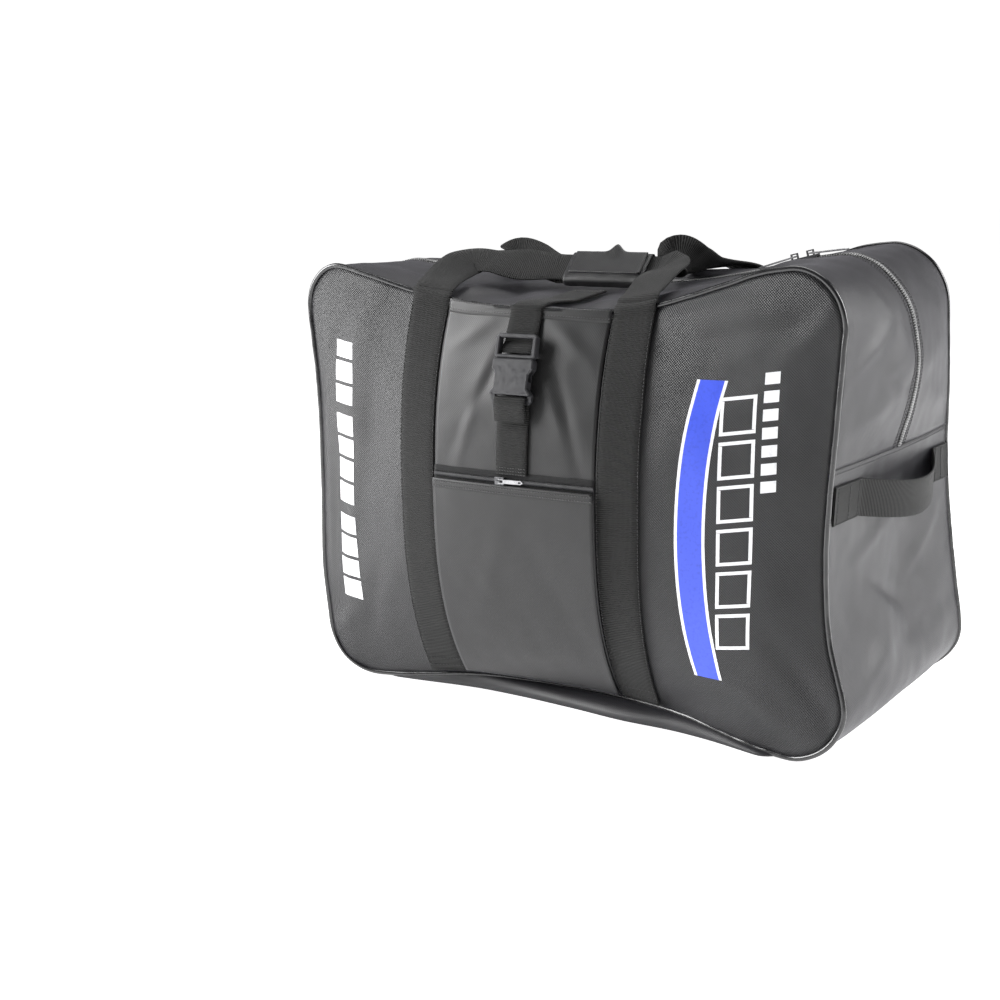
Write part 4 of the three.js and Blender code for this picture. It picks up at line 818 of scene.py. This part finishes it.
def rolled_out(points, stations, across):
    """The bottom band, bellied forward between the front seam and the floor."""
    x = points[:, :1, 0]
    out = follow(ROLL_X, ROLL_OUT, np.clip(x, ROLL_X[0], ROLL_X[-1]))
    from_seam = (1 + np.broadcast_to(across, points.shape[:2])) * DEPTH / 2
    seam_y, seam_z = points[:, :1, 1], points[:, :1, 2]
    low = WEBBING / 2
    turn = np.clip(from_seam / ROLL_RUN, 0, 1) * QUARTER
    y = seam_y - out * np.sin(turn) + 0.9 * np.maximum(from_seam - ROLL_RUN, 0)
    z = low + (seam_z - low) * np.cos(turn)
    back = smooth((from_seam - ROLL_RUN) / ROLL_BACK)
    rolled = np.stack([points[..., 0], mix(y, points[..., 1], back), mix(z, points[..., 2], back)], -1)
    flat = smooth((INNER + 20 - np.abs(stations[:, None, :1])) / 50) * (stations[:, None, 1:2] < CORNER / 2)
    near = (from_seam < ROLL_RUN + ROLL_BACK)[..., None]
    return np.where(near, mix(points, rolled, flat), points)


def gusset_cloth(name, node, path, low, high, material):
    """A band of the gusset between two places across it, from -1 at the front seam to 1 at the back one."""
    stations = outline(path, 4.5)
    count = round(abs(high - low) * DEPTH / 2 / 4.5)
    across = np.linspace(low, high, count + 1)[None]
    points = gusset_point(stations, across)
    normals = -grid_normals(points)
    rise = gusset_rise(stations, across, points)
    under = (stations[:, 1] < CORNER * 0.5) & (np.abs(stations[:, 0]) < INNER + CORNER)
    rise[under] *= 0.15
    zipped = smooth((np.abs(across) * DEPTH / 2 - 8) / 14)
    if path is UPPER_PATH:
        rise = rise * zipped
    seam = smooth(np.abs(stations[:, 1] - CROSS_SEAM) / 8)[:, None]
    points = points + normals * (rise * seam)[..., None]
    if path is LOWER_PATH:
        points = rolled_out(points, stations, across)
    finish_piece(cloth(name, points, material), node)
    return points, normals


SEAM_EDGE = 1 - 2 * 1.4 / DEPTH
SLOT_EDGE = 13 / DEPTH
lower_band = gusset_cloth(
    "gusset_bottom_cloth", "gusset_bottom", LOWER_PATH, -SEAM_EDGE, SEAM_EDGE, NYLON_SIDE
)
top_front = gusset_cloth(
    "gusset_front_cloth", "gusset_top_front", UPPER_PATH, -SEAM_EDGE, -SLOT_EDGE, NYLON_SIDE
)
top_back = gusset_cloth(
    "gusset_back_cloth", "gusset_top_back", UPPER_PATH, SLOT_EDGE, SEAM_EDGE, NYLON_SIDE
)


# Webbing paths.
def smooth_rows(rows, per=6):
    """More rows of points, on smooth curves through the given ones."""
    rows = np.asarray(rows, float)
    ends = np.concatenate([2 * rows[:1] - rows[1:2], rows, 2 * rows[-1:] - rows[-2:-1]])
    mid = ends[:, ends.shape[1] // 2]
    knots = np.append(0, np.cumsum(np.sqrt(np.linalg.norm(np.diff(mid, axis=0), axis=1)) + 1e-9))
    made = []
    for i in range(1, len(ends) - 2):
        t0, t1, t2, t3 = knots[i - 1 : i + 3]
        p0, p1, p2, p3 = ends[i - 1 : i + 3]
        for s in np.arange(per) / per:
            t = mix(t1, t2, s)
            a1 = (t1 - t) / (t1 - t0) * p0 + (t - t0) / (t1 - t0) * p1
            a2 = (t2 - t) / (t2 - t1) * p1 + (t - t1) / (t2 - t1) * p2
            a3 = (t3 - t) / (t3 - t2) * p2 + (t - t2) / (t3 - t2) * p3
            b1 = (t2 - t) / (t2 - t0) * a1 + (t - t0) / (t2 - t0) * a2
            b2 = (t3 - t) / (t3 - t1) * a2 + (t - t1) / (t3 - t1) * a3
            made.append((t2 - t) / (t2 - t1) * b1 + (t - t1) / (t2 - t1) * b2)
    return np.array([*made, ends[-2]])


top_run = outline([((-EDGE + 1, HEIGHT), (EDGE - 1, HEIGHT))], 4)
SEAM_TOPS = {side: seam_point(side, top_run[:, 0], top_run[:, 1]) for side in (FRONT, BACK)}


def seam_top(side, x):
    line = SEAM_TOPS[side]
    return np.interp(x, line[:, 0], line[:, 2])


# Free runs of the handle legs, as in the frame: across, back, rise, then the webbing's width direction.
HANDLE_RUNS = {
    (FRONT, LEFT): [
        (0, 0.1, 0.35, 1, 0, 0),
        (0, 0.22, 0.55, 1, 0, 0),
        (0, 0.5, 0.95, 0.95, -0.1, -0.25),
        (0.03, 0.8, 1.2, 0.72, -0.55, -0.4),
        (0.24, 0.88, 1.2, 0.25, -0.85, -0.4),
        (0.6, 0.92, 1.08, 0, -0.74, -0.67),
    ],
    (FRONT, RIGHT): [
        (0, 0.1, 0.35, 1, 0, 0),
        (0, 0.22, 0.5, 1, 0, 0),
        (-0.1, 0.5, 0.9, 0.97, -0.15, 0),
        (-0.15, 0.74, 1.1, 0.85, -0.45, -0.1),
        (0.1, 0.86, 1.15, 0.5, -0.75, -0.3),
        (0.45, 0.92, 1.12, 0.15, -0.8, -0.6),
    ],
    (BACK, LEFT): [
        (0, 0.06, 0.7, 1, 0, 0),
        (0, 0.12, 1.5, 1, 0, -0.05),
        (0.02, 0.35, 1.9, 1, 0, -0.08),
        (0.1, 0.62, 2.1, 0.95, 0.1, -0.2),
        (0.3, 0.86, 2.1, 0.75, 0.2, -0.35),
        (0.65, 0.98, 2.1, 0.2, 0.72, -0.6),
    ],
    (BACK, RIGHT): [
        (0, 0.06, 0.6, 1, 0, 0),
        (0, 0.12, 0.8, 1, 0, 0),
        (-0.1, 0.4, 1.1, 0.97, 0, -0.15),
        (-0.1, 0.68, 1.3, 0.9, 0.1, -0.35),
        (0, 0.8, 1.65, 0.7, 0.3, -0.5),
        (0.35, 0.92, 2.1, 0.3, 0.66, -0.7),
    ],
}
LEAN = math.radians(WRAP_LEAN)
WRAP_DOWN = np.array([0, -math.sin(LEAN), -math.cos(LEAN)])
WRAP_OUT = np.array([0, -math.cos(LEAN), math.sin(LEAN)])
LAY = LAY_GAP + WEBBING / 2
HANDLE_LAY = LAY + HANDLE_EASE


def handle_leg(side, end, shares):
    """Rows of a leg from its foot to the wrap; shares are places across the webbing from -0.5 to 0.5."""
    x = leg_x(end)
    at = x - end * shares * HANDLE_WIDTH
    tops = seam_top(side, at)
    rows = []
    for t in np.linspace(0, 1, 90):
        rows.append(laid(side, at, mix(bottom_line(at) + HANDLE_FOOT, tops - HANDLE_BRINK, t), HANDLE_LAY))
    brink = PIPING + LAY_GAP + HANDLE_LAY + 0.2
    for angle in np.linspace(0, QUARTER, 6):
        y = np.full_like(at, side * (DEPTH / 2 + brink * math.cos(angle)))
        rows.append(np.stack([at, y, tops + brink * math.sin(angle)], -1))
    slope = (seam_top(side, at[-1]) - seam_top(side, at[0])) / (at[-1] - at[0])
    wrap_point = np.array(WRAP_CENTRE) - side * WRAP_LAYERS * WRAP_OUT
    wrap_x = wrap_point[0] + end * (WRAP_LENGTH / 2 + 5 * WEBBING)
    seam_y, seam_z = side * (DEPTH / 2 + brink + 0.4), seam_top(side, x)
    stops = []
    for across, back, rise, *width in HANDLE_RUNS[side, end]:
        level = mix(seam_z, wrap_point[2], rise)
        centre = np.array([mix(x, wrap_x, across), mix(seam_y, wrap_point[1], back), level])
        direction = np.array([-end * width[0], -side * width[1], width[2] - end * slope * width[0]])
        stops.append((centre, direction, 1))
    stops.append((np.array([wrap_x, *wrap_point[1:]]), WRAP_DOWN, WRAP_GATHER))
    first = (rows[-1].mean(0), stops[0][1], 1)
    knots = [first, *stops]
    centres = np.array([k[0] for k in knots])[:, None]
    path = smooth_rows(centres, 10)[1:, 0]
    for i, (before, after) in enumerate(zip(knots, stops)):
        for s in range(10):
            row, t = i * 10 + s, (s + 1) / 10
            ahead = path[min(row + 1, len(path) - 1)] - (path[row - 1] if row else rows[-1].mean(0))
            tangent = unit(ahead) if row < len(path) - 1 else np.array([end, 0, 0])
            width = mix(before[1], after[1], smooth(t) * 0.5 + t * 0.5)
            width = unit(width - tangent * (width @ tangent))
            reach = HANDLE_WIDTH * mix(before[2], after[2], smooth(t))
            rows.append(path[row] + shares[:, None] * reach * width)
    inside = np.array([wrap_x - 4 * end * WEBBING, *wrap_point[1:]])
    rows.append(inside + shares[:, None] * HANDLE_WIDTH * WRAP_GATHER * WRAP_DOWN)
    return rows


def make_handle(side, name, node):
    shares = across_rows(HANDLE_WIDTH) / HANDLE_WIDTH
    legs = {end: handle_leg(side, end, shares) for end in (LEFT, RIGHT)}
    grid = np.array([*legs[LEFT], *legs[RIGHT][::-1]])
    finish_piece(webbing(name, grid, WEB), node)
    return grid


handle_front_grid = make_handle(FRONT, "handle_front_web", "handle_front")
handle_back_grid = make_handle(BACK, "handle_back_web", "handle_back")


# The wrap: a padded sleeve whose flap closes on its outer face, with one soft corner standing up.
def make_wrap():
    half_height = (HANDLE_WIDTH * WRAP_GATHER + 2 * (WEBBING + LAY_GAP)) / 2
    angles = np.linspace(0, 2 * math.pi, 49)[:-1]
    reach = np.linspace(-1, 1, 41)
    grid = np.empty((len(reach), len(angles), 3))
    for i, t in enumerate(reach):
        pad = 1 + 0.09 * (1 - t**4) - 0.06 * math.exp(-(((abs(t) - 0.9) / 0.05) ** 2))
        down = np.sign(np.sin(angles)) * np.abs(np.sin(angles)) ** 0.55 * (half_height - 0.6)
        out = np.sign(np.cos(angles)) * np.abs(np.cos(angles)) ** 0.55 * 6.6 * pad
        centre = np.array(WRAP_CENTRE) + [t * (WRAP_LENGTH / 2 - 0.5), 0, 0]
        grid[i] = centre + down[:, None] * WRAP_DOWN + out[:, None] * WRAP_OUT
    grid += grid_normals(grid) * (0.5 * ripple(grid, 13, 41))[..., None]
    faces = grid_faces(*grid.shape[:2], ring=True)
    uv = np.stack(np.meshgrid(angles * 16, reach * WRAP_LENGTH / 2), -1)
    sleeve = make_mesh("handle_wrap_sleeve", grid, faces, NYLON_POCKET, uv)
    thicken(sleeve, 1.6)
    finish_piece(sleeve, "handle_wrap")


make_wrap()


def make_flap():
    """The closing flap on the wrap's outer face, its upper edge lifting into an ear."""
    across, down = np.meshgrid(np.linspace(-1, 1, 33), np.linspace(-1, 1, 17))
    x = across * (WRAP_LENGTH / 2 - 5)
    ear = np.exp(-(((across - 0.12) / 0.16) ** 2)) * smooth((-down - 0.2) / 0.8)
    out = 8.3 + 3.2 * ear + 0.4 * ripple(np.stack([x, down * 9, 0 * x], -1), 9, 44)
    drop = down * 15 - 3 - 8 * ear
    points = np.array(WRAP_CENTRE) + np.stack([x, 0 * x, 0 * x], -1)
    points = points + drop[..., None] * WRAP_DOWN + out[..., None] * WRAP_OUT
    finish_piece(cloth("handle_wrap_flap", points, NYLON_POCKET, 1.4), None)


make_flap()

# Pockets.
POCKET_WALL, POCKET_EASE, ZIP_POCKET_EASE = 1.6, 1, 2
ZIP_POCKET_OFF, HEM_LIFT = LAY_GAP + ZIP_POCKET_EASE + POCKET_WALL / 2, 0.5
POCKET_X = [leg_x(end) - end * (HANDLE_WIDTH / 2 + 2 * LAY_GAP) for end in (LEFT, RIGHT)]


def slip_face(x, z, off=0.0):
    """A point a distance off the slip pocket's outer face."""
    x, z = np.broadcast_arrays(np.asarray(x, float), np.asarray(z, float))
    low, high = bottom_line(x) + POCKET_FOOT, top_line(FRONT, x) + SLIP_POCKET_RISE
    u = np.clip((x - POCKET_X[0]) / (POCKET_X[1] - POCKET_X[0]), 0, 1)
    v = np.clip((z - low) / (high - low), 0, 1)
    puff = LAY_GAP + POCKET_EASE + POCKET_PUFF * v**6 * (1 - (2 * u - 1) ** 2)
    over = PIPING * smooth((z - (top_line(FRONT, x) - 9)) / 7)
    point = laid(FRONT, x, z, puff + over) - [0, POCKET_WALL, 0]
    return point + panel_normal(FRONT, x, z) * (off if np.ndim(off) == 0 else np.asarray(off)[..., None])


# Creases of the pockets: x, z, long, wide, lean, rise in millimetres.
POCKET_CREASES = [
    (-0.13, 0.66, 0.12, 0.01, 74, 1.2),
    (-0.1, 0.75, 0.1, 0.01, 60, -1.4),
    (0.01, 0.73, 0.1, 0.012, -60, 1.5),
    (0.05, 0.66, 0.12, 0.01, -72, -1.2),
    (0.03, 0.84, 0.07, 0.012, -35, 1.4),
    (-0.14, 0.84, 0.07, 0.012, 30, 1.4),
    (-0.1, 0.3, 0.14, 0.02, 70, 0.9),
    (0.03, 0.28, 0.16, 0.02, -64, -1.0),
    (-0.02, 0.14, 0.1, 0.02, 10, 0.9),
]


def pocket_rise(x, z):
    rise = sum(row[-1] * bump(x, z, row[:5]) for row in POCKET_CREASES)
    return rise + 0.5 * ripple(np.stack([x, 0 * x, z], -1), 22, 51)


def pocket_cloth(name, node, low, high, off, pitch=3.5):
    """A pocket between two heights given as functions of x, lying a distance off the slip pocket's face."""
    x = np.linspace(POCKET_X[0], POCKET_X[1], round((POCKET_X[1] - POCKET_X[0]) / pitch) + 1)
    rows = round(float(high(0) - low(0)) / pitch)
    v = np.linspace(0, 1, rows + 1)[:, None]
    grid_x = np.broadcast_to(x, (rows + 1, len(x)))
    grid_z = mix(low(x)[None], high(x)[None], v)
    edge = smooth(np.minimum(grid_x - x[0], x[-1] - grid_x) / 12) * smooth((1 - v) * (high(0) - low(0)) / 14)
    strap = smooth((np.abs(grid_x - STRAP_SHIFT) - STRAP_WIDTH / 2) / 10)
    strap = np.where(grid_z < CHAIN_LOW, 1, strap)
    rise = pocket_rise(grid_x, grid_z) * edge * strap
    points = slip_face(grid_x, grid_z, off + rise)
    uvs = np.stack([grid_x, grid_z], -1)
    return finish_piece(cloth(name, points[:, ::-1], NYLON_POCKET, 1.2, uvs[:, ::-1]), node)


pocket_cloth(
    "slip_pocket_cloth", "slip_pocket", lambda x: bottom_line(x) + POCKET_FOOT,
    lambda x: top_line(FRONT, x) + SLIP_POCKET_RISE, -POCKET_WALL / 2,
)
pocket_cloth(
    "zip_pocket_cloth", "zip_pocket", lambda x: bottom_line(x) + POCKET_FOOT,
    lambda x: ZIP_POCKET_HEIGHT + 0 * x, ZIP_POCKET_OFF,
)


def hem(name, grid_x, low, high, off):
    """A folded hem along a pocket's upper edge."""
    z = mix(low[None], high[None], np.linspace(0, 1, 6)[:, None])
    x = np.broadcast_to(grid_x, z.shape)
    points = slip_face(x, z, off)
    uvs = np.stack([x, z], -1)
    return finish_piece(cloth(name, points[:, ::-1], NYLON_POCKET, 1.5, uvs[:, ::-1]), None)


pocket_xs = np.linspace(POCKET_X[0], POCKET_X[1], 60)
slip_tops = top_line(FRONT, pocket_xs) + SLIP_POCKET_RISE
hem("slip_pocket_hem", pocket_xs, slip_tops - 14, slip_tops + 0.4, HEM_LIFT - POCKET_WALL / 2)
zip_tops = ZIP_POCKET_HEIGHT + 0 * pocket_xs
hem("zip_pocket_hem", pocket_xs, zip_tops - 9, zip_tops + 0.3, ZIP_POCKET_OFF + HEM_LIFT)


# Zippers: a coil of bites locked along the middle, on woven tape.
def coil(name, line, normals, node, pitch=2.1, reach=4.4, radius=0.85, material=COIL):
    place, run, row = resample(line, pitch)
    up = np.stack([np.interp(row, np.arange(len(normals)), normals[:, i]) for i in range(3)], -1)
    up = unit(up - run * np.sum(up * run, -1, keepdims=True))
    side = np.cross(up, run)
    points, faces = [], []
    stops = [(-reach, -0.7, 0.7), (-reach + 0.5, -0.1, 1), (-0.2, 0.15, 1)]
    stops += [(0.9, 0.2, 1.15), (1.5, -0.2, 0.6)]
    section = [(math.cos(a), math.sin(a)) for a in np.linspace(0, 2 * math.pi, 6, endpoint=False)]
    bead = [*grid_faces(5, 6, ring=True).tolist(), list(range(6))[::-1], list(range(24, 30))]
    for hand in (-1, 1):
        shift = 0 if hand > 0 else pitch / 2
        for p, r, u, s in zip(place, run, up, side):
            first = len(points)
            for across, rise, size in stops:
                centre = p + r * shift + s * across * -hand + u * rise * radius
                points += [centre + (r * a * 0.8 + u * b) * radius * size for a, b in section]
            faces += [[first + f for f in (face if hand > 0 else face[::-1])] for face in bead]
    return finish_piece(make_mesh(name, points, faces, material), node)


zip_stations = outline(UPPER_PATH, 4)
zip_normals = -grid_normals(gusset_point(zip_stations, np.linspace(-0.1, 0.1, 3)[None]))
zip_line = gusset_point(zip_stations, np.array([[0.0]]))[:, 0] + zip_normals[:, 1] * 1.3
coil("zipper_coil", zip_line, zip_normals[:, 1], "zipper_chain", 2.6, 4.6, 1.05)
tape_across = np.linspace(-17, 17, 13)[None] / (DEPTH / 2)
tape_points = gusset_point(zip_stations, tape_across)
tape_points = tape_points - (-grid_normals(tape_points)) * 1.7
finish_piece(cloth("zipper_tape_web", tape_points, TAPE, 0.9), "zipper_tape")

pocket_zip_z = (CHAIN_LOW + CHAIN_HIGH) / 2
pocket_line = slip_face(pocket_xs, pocket_zip_z, 1.7)
pocket_zip_normals = panel_normal(FRONT, pocket_xs, pocket_zip_z + 0 * pocket_xs)
coil("pocket_zipper_coil", pocket_line, pocket_zip_normals, "pocket_zipper", 1.5, 2.6, 0.6, PLASTIC)
tape_z = np.linspace(ZIP_POCKET_HEIGHT - 8, CHAIN_HIGH + 5.5, 8)[:, None] + 0 * pocket_xs
pocket_tape = slip_face(np.broadcast_to(pocket_xs, tape_z.shape), tape_z, 0.6)
finish_piece(cloth("pocket_zipper_tape", pocket_tape[:, ::-1], TAPE, 0.8), None)

# The compression strap, as in the frame.
TILT = math.radians(BUCKLE_TILT)
BUCKLE_UP = np.array([0, math.sin(TILT), math.cos(TILT)])
BUCKLE_OUT = np.array([0, -math.cos(TILT), math.sin(TILT)])
strap_shares = across_rows(STRAP_WIDTH)


def buckle_row(up, out):
    return np.array(BUCKLE_SEAT) + strap_shares[:, None] * [1, 0, 0] + up * BUCKLE_UP + out * BUCKLE_OUT


def pocket_row(z):
    return slip_face(STRAP_SHIFT + strap_shares, z, LAY)


def top_z(x, y):
    """The height of the top gusset's upper face at (x, y)."""
    across = y / (DEPTH / 2)
    stations = np.stack([x, HEIGHT + 0 * x, 0 * x, 1 + 0 * x], -1)
    points = np.array([gusset_point(stations[i : i + 1], np.array([[across]]))[0, 0] for i in range(len(x))])
    return points[:, 2] + WEBBING / 2


def round_bar(out, start, end):
    angles = np.linspace(start, end, 3)
    return [(BAR + SLOT / 2 * math.cos(a), out + SLOT / 2 * math.sin(a)) for a in angles]


tail = [
    (-BAR, -LAY), *round_bar(0, -QUARTER, 0), *round_bar(BAR_THICKNESS, 0, QUARTER),
    (-BAR / 2, BAR_THICKNESS + SLOT / 2), (-9, BAR), (-18, WEBBING / 2),
]
lower_rows = [pocket_row(z) for z in np.linspace(CHAIN_HIGH + 4.5, BUCKLE_LOW - 2 * BAR, 5)]
lower_rows += [buckle_row(*place) for place in tail]
lower_grid = smooth_rows(lower_rows, 5)
finish_piece(webbing("strap_lower_web", lower_grid, WEB), "compression_strap_lower")

window_low = BODY_LENGTH + 0.3 + BAR
window = [
    (window_low + WEBBING, BAR), (mix(window_low, 66, 0.45), BAR * 0.8), (64, -LAY * 0.8), (70, -LAY),
]
brink_z = float(top_line(FRONT, STRAP_SHIFT)) + SLIP_POCKET_RISE
brink_y = pocket_row(brink_z - WEBBING)[4, 1]
upper_rows = [buckle_row(*place) for place in window]
upper_rows += [pocket_row(z) for z in np.linspace(BUCKLE_TOP + 2 * BAR, brink_z - WEBBING, 3)]
for t, back, rise in ((0.12, 0.5, 2.4), (0.2, 4, 4.6), (0.3, 12, 5.4), (0.4, 22, 5.6)):
    x = mix(STRAP_SHIFT, STRAP_TOP_SHIFT, t) + strap_shares
    upper_rows.append(np.stack([x, 0 * x + brink_y + back, 0 * x + brink_z + rise], -1))
for t in np.linspace(0, 1, 4):
    x = mix(STRAP_SHIFT, STRAP_TOP_SHIFT, mix(0.6, 1, t)) + strap_shares
    y = -DEPTH / 2 + mix(0.4, 1, t) * STRAP_REACH
    upper_rows.append(np.stack([x, 0 * x + y, top_z(x, y) + LAY], -1))
upper_grid = smooth_rows(upper_rows, 5)
finish_piece(webbing("strap_upper_web", upper_grid, WEB), "compression_strap_upper")


# Side handles.
def end_face(end, y, z):
    """The x of the lower end gusset's outer face at (y, z)."""
    nominal, flat, across = np.array(z, float), 0 * np.asarray(z, float), np.asarray(y) / (DEPTH / 2)
    for _ in range(4):
        stations = np.stack([flat + end * EDGE, nominal, flat + end, flat], -1)
        point = np.array([gusset_point(s[None], np.array([[v]]))[0, 0] for s, v in zip(stations, across)])
        nominal = nominal + np.asarray(z) - point[:, 2]
    return point[:, 0] + end * WEBBING / 2


def make_side_handle(end, name, node):
    front, back = SIDE_HANDLE_FRONT - DEPTH / 2, DEPTH / 2 - SIDE_HANDLE_BACK
    margin = PIPING + 2 * LAY_GAP
    shares = across_rows(SIDE_HANDLE_WIDTH, 7)
    rows = []
    places = [(y, 0) for y in np.linspace(margin - DEPTH / 2, front, 12)]
    places += [(mix(front, back, t), math.sin(math.pi * t)) for t in np.linspace(0, 1, 34)[1:-1]]
    places += [(y, 0) for y in np.linspace(back, DEPTH / 2 - margin, 9)]
    for y, rise in places:
        z = SIDE_HANDLE_HEIGHT + shares
        x = end_face(end, 0 * z + y, z) + end * LAY
        cup = 1.6 * rise * (1 - (2 * shares / SIDE_HANDLE_WIDTH) ** 2)
        out = x + end * (SIDE_HANDLE_STAND * rise - cup)
        rows.append(np.stack([out, 0 * x + y, z - SIDE_HANDLE_DROP * rise], -1))
    grid = np.array(rows)
    finish_piece(webbing(name, grid, WEB), node)
    return grid


side_right_grid = make_side_handle(RIGHT, "side_handle_right_web", "side_handle_right")
side_left_grid = make_side_handle(LEFT, "side_handle_left_web", "side_handle_left")

# Moulded and metal pieces keep the frame's shape, with rounded edges.
def dress(node, material, width, segments=3):
    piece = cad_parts[node]
    piece.data.materials.clear()
    piece.data.materials.append(material)
    bevel = piece.modifiers.new("edges", "BEVEL")
    bevel.width, bevel.segments = width * MM, segments
    bevel.limit_method, bevel.angle_limit = "ANGLE", math.radians(35)
    bevel.harden_normals = False


dress("buckle_body", PLASTIC, 0.7)
dress("buckle_frame", PLASTIC, 0.7)
for slider in ("left", "right", "pocket"):
    dress(f"{slider}_slider", GUNMETAL, 0.25, 2)
    dress(f"{slider}_pull", BRIGHT_METAL, 0.22, 2)


# Stitching.
leg_lines = []
for side, grid in ((FRONT, handle_front_grid), (BACK, handle_back_grid)):
    for rows in (slice(1, 88), slice(-88, -1)):
        for column in (1, 7):
            face = laid(side, grid[rows, column, 0], grid[rows, column, 2], HANDLE_LAY + WEBBING / 2 + 0.1)
            leg_lines.append((face, panel_normal(side, grid[rows, column, 0], grid[rows, column, 2])))
    for start in (2, len(grid) - 3):
        for inset in (0, 2):
            row = grid[start + (inset if start < 10 else -inset)]
            face = laid(side, row[1:-1, 0], row[1:-1, 2], HANDLE_LAY + WEBBING / 2 + 0.1)
            leg_lines.append((face, panel_normal(side, row[1:-1, 0], row[1:-1, 2])))
finish_piece(stitches("handle_stitches", leg_lines, THREAD), None)

pocket_lines = []
for z in (slip_tops - 3, slip_tops - 11):
    pocket_lines.append((slip_face(pocket_xs, z, 0.7), panel_normal(FRONT, pocket_xs, z)))
for z in (zip_tops - 2.5, zip_tops - 7):
    face = slip_face(pocket_xs, z, ZIP_POCKET_OFF + POCKET_WALL / 2 + 0.6)
    pocket_lines.append((face, panel_normal(FRONT, pocket_xs, z)))
finish_piece(stitches("pocket_stitches", pocket_lines, THREAD, 3.2), None)

slot_lines = []
for (points, normals), columns in ((top_front, (-2, -3)), (top_back, (1, 2))):
    for column in columns:
        slot_lines.append((points[:, column] + normals[:, column] * 0.75, normals[:, column]))
finish_piece(stitches("zipper_stitches", slot_lines, THREAD, 3.4), None)

strap_lines = []
for grid in (lower_grid[:3], upper_grid[-3:]):
    for row in grid:
        out = np.array([0, -1, 0]) if row[0, 1] < -DEPTH / 2 else np.array([0, 0, 1])
        normal = np.broadcast_to(out, row.shape)
        strap_lines.append((row[1:-1] + normal[1:-1] * 1.15, normal[1:-1]))
finish_piece(stitches("strap_stitches", strap_lines, THREAD, 3), None)

side_lines = []
for end, grid in ((RIGHT, side_right_grid), (LEFT, side_left_grid)):
    normal = np.array([end, 0.0, 0.0])
    for rows in (range(0, 12), range(len(grid) - 9, len(grid))):
        rows = list(rows)
        for column in (1, -2):
            line = grid[rows, column] + normal * 1.15
            side_lines.append((line, np.broadcast_to(normal, line.shape)))
        for row in (rows[0] + 1, rows[-1] - 1, rows[len(rows) // 2]):
            line = grid[row, 1:-1] + normal * 1.15
            side_lines.append((line, np.broadcast_to(normal, line.shape)))
finish_piece(stitches("side_handle_stitches", side_lines, THREAD), None)

cross_lines = []
for (points, normals), rows in ((lower_band, (1, -2)), (top_front, (0, -1)), (top_back, (0, -1))):
    for row in rows:
        cross_lines.append((points[row, 1:-1] + normals[row, 1:-1] * 0.75, normals[row, 1:-1]))
finish_piece(stitches("cross_seam_stitches", cross_lines, THREAD, 3.2), None)

# Stage, lights and camera.
def stage_floor():
    bpy.ops.mesh.primitive_plane_add(size=40, location=(0, 0, -0.0006))
    floor = bpy.context.object
    floor.name = "stage_floor"
    white = Nodes("stage_white", (0.9, 0.9, 0.9), 0.7)
    white.set(Emission_Color=(1, 1, 1, 1), Emission_Strength=0.88)
    floor.data.materials.append(white.material)


def area_light(name, place, target, size, power, color=(1, 1, 1)):
    data = bpy.data.lights.new(name, "AREA")
    data.shape, data.size, data.size_y, data.energy, data.color = "RECTANGLE", size[0], size[1], power, color
    light = bpy.data.objects.new(name, data)
    light.location = place
    light.rotation_euler = (Vector(target) - Vector(place)).to_track_quat("-Z", "Y").to_euler()
    bpy.context.scene.collection.objects.link(light)


def studio_world(seen, felt):
    """A white surround that looks bright but lights the bag softly."""
    world = bpy.data.worlds.new("studio")
    world.use_nodes = True
    tree = world.node_tree
    seen_light, felt_light = tree.nodes["Background"], tree.nodes.new("ShaderNodeBackground")
    seen_light.inputs["Color"].default_value = felt_light.inputs["Color"].default_value = (1, 1, 1, 1)
    seen_light.inputs["Strength"].default_value = seen
    felt_light.inputs["Strength"].default_value = felt
    blend, path = tree.nodes.new("ShaderNodeMixShader"), tree.nodes.new("ShaderNodeLightPath")
    tree.links.new(path.outputs["Is Camera Ray"], blend.inputs[0])
    tree.links.new(felt_light.outputs[0], blend.inputs[1])
    tree.links.new(seen_light.outputs[0], blend.inputs[2])
    tree.links.new(blend.outputs[0], tree.nodes["World Output"].inputs["Surface"])
    bpy.context.scene.world = world


stage_floor()
area_light("key_left", (-1.9, -1.1, 1.1), (-0.1, 0, 0.25), (1.2, 1.6), 105)
area_light("side_right", (2.1, 0.9, 1.2), (0.3, 0, 0.25), (1.2, 1.6), 70)
area_light("top_soft", (0.1, 0.5, 2.5), (0, 0, 0.3), (2.0, 1.4), 36)
studio_world(1.1, 0.16)
bpy.context.scene.view_settings.view_transform = "Standard"

camera_data = bpy.data.cameras.new("photo_camera")
camera_data.lens, camera_data.sensor_width = 55.61, 36
camera_data.shift_x, camera_data.shift_y = -0.0027, -0.0212
camera = bpy.data.objects.new("photo_camera", camera_data)
camera.location = (0.7265, -1.5209, 0.5641)
right_way = Vector((0.86635, 0.49934, -0.00994))
up_way = Vector((-0.09002, 0.17568, 0.98032))
turn = Matrix((right_way, up_way, right_way.cross(up_way))).transposed().to_4x4()
camera.matrix_world = Matrix.Translation(camera.location) @ turn
bpy.context.scene.collection.objects.link(camera)
bpy.context.scene.camera = camera
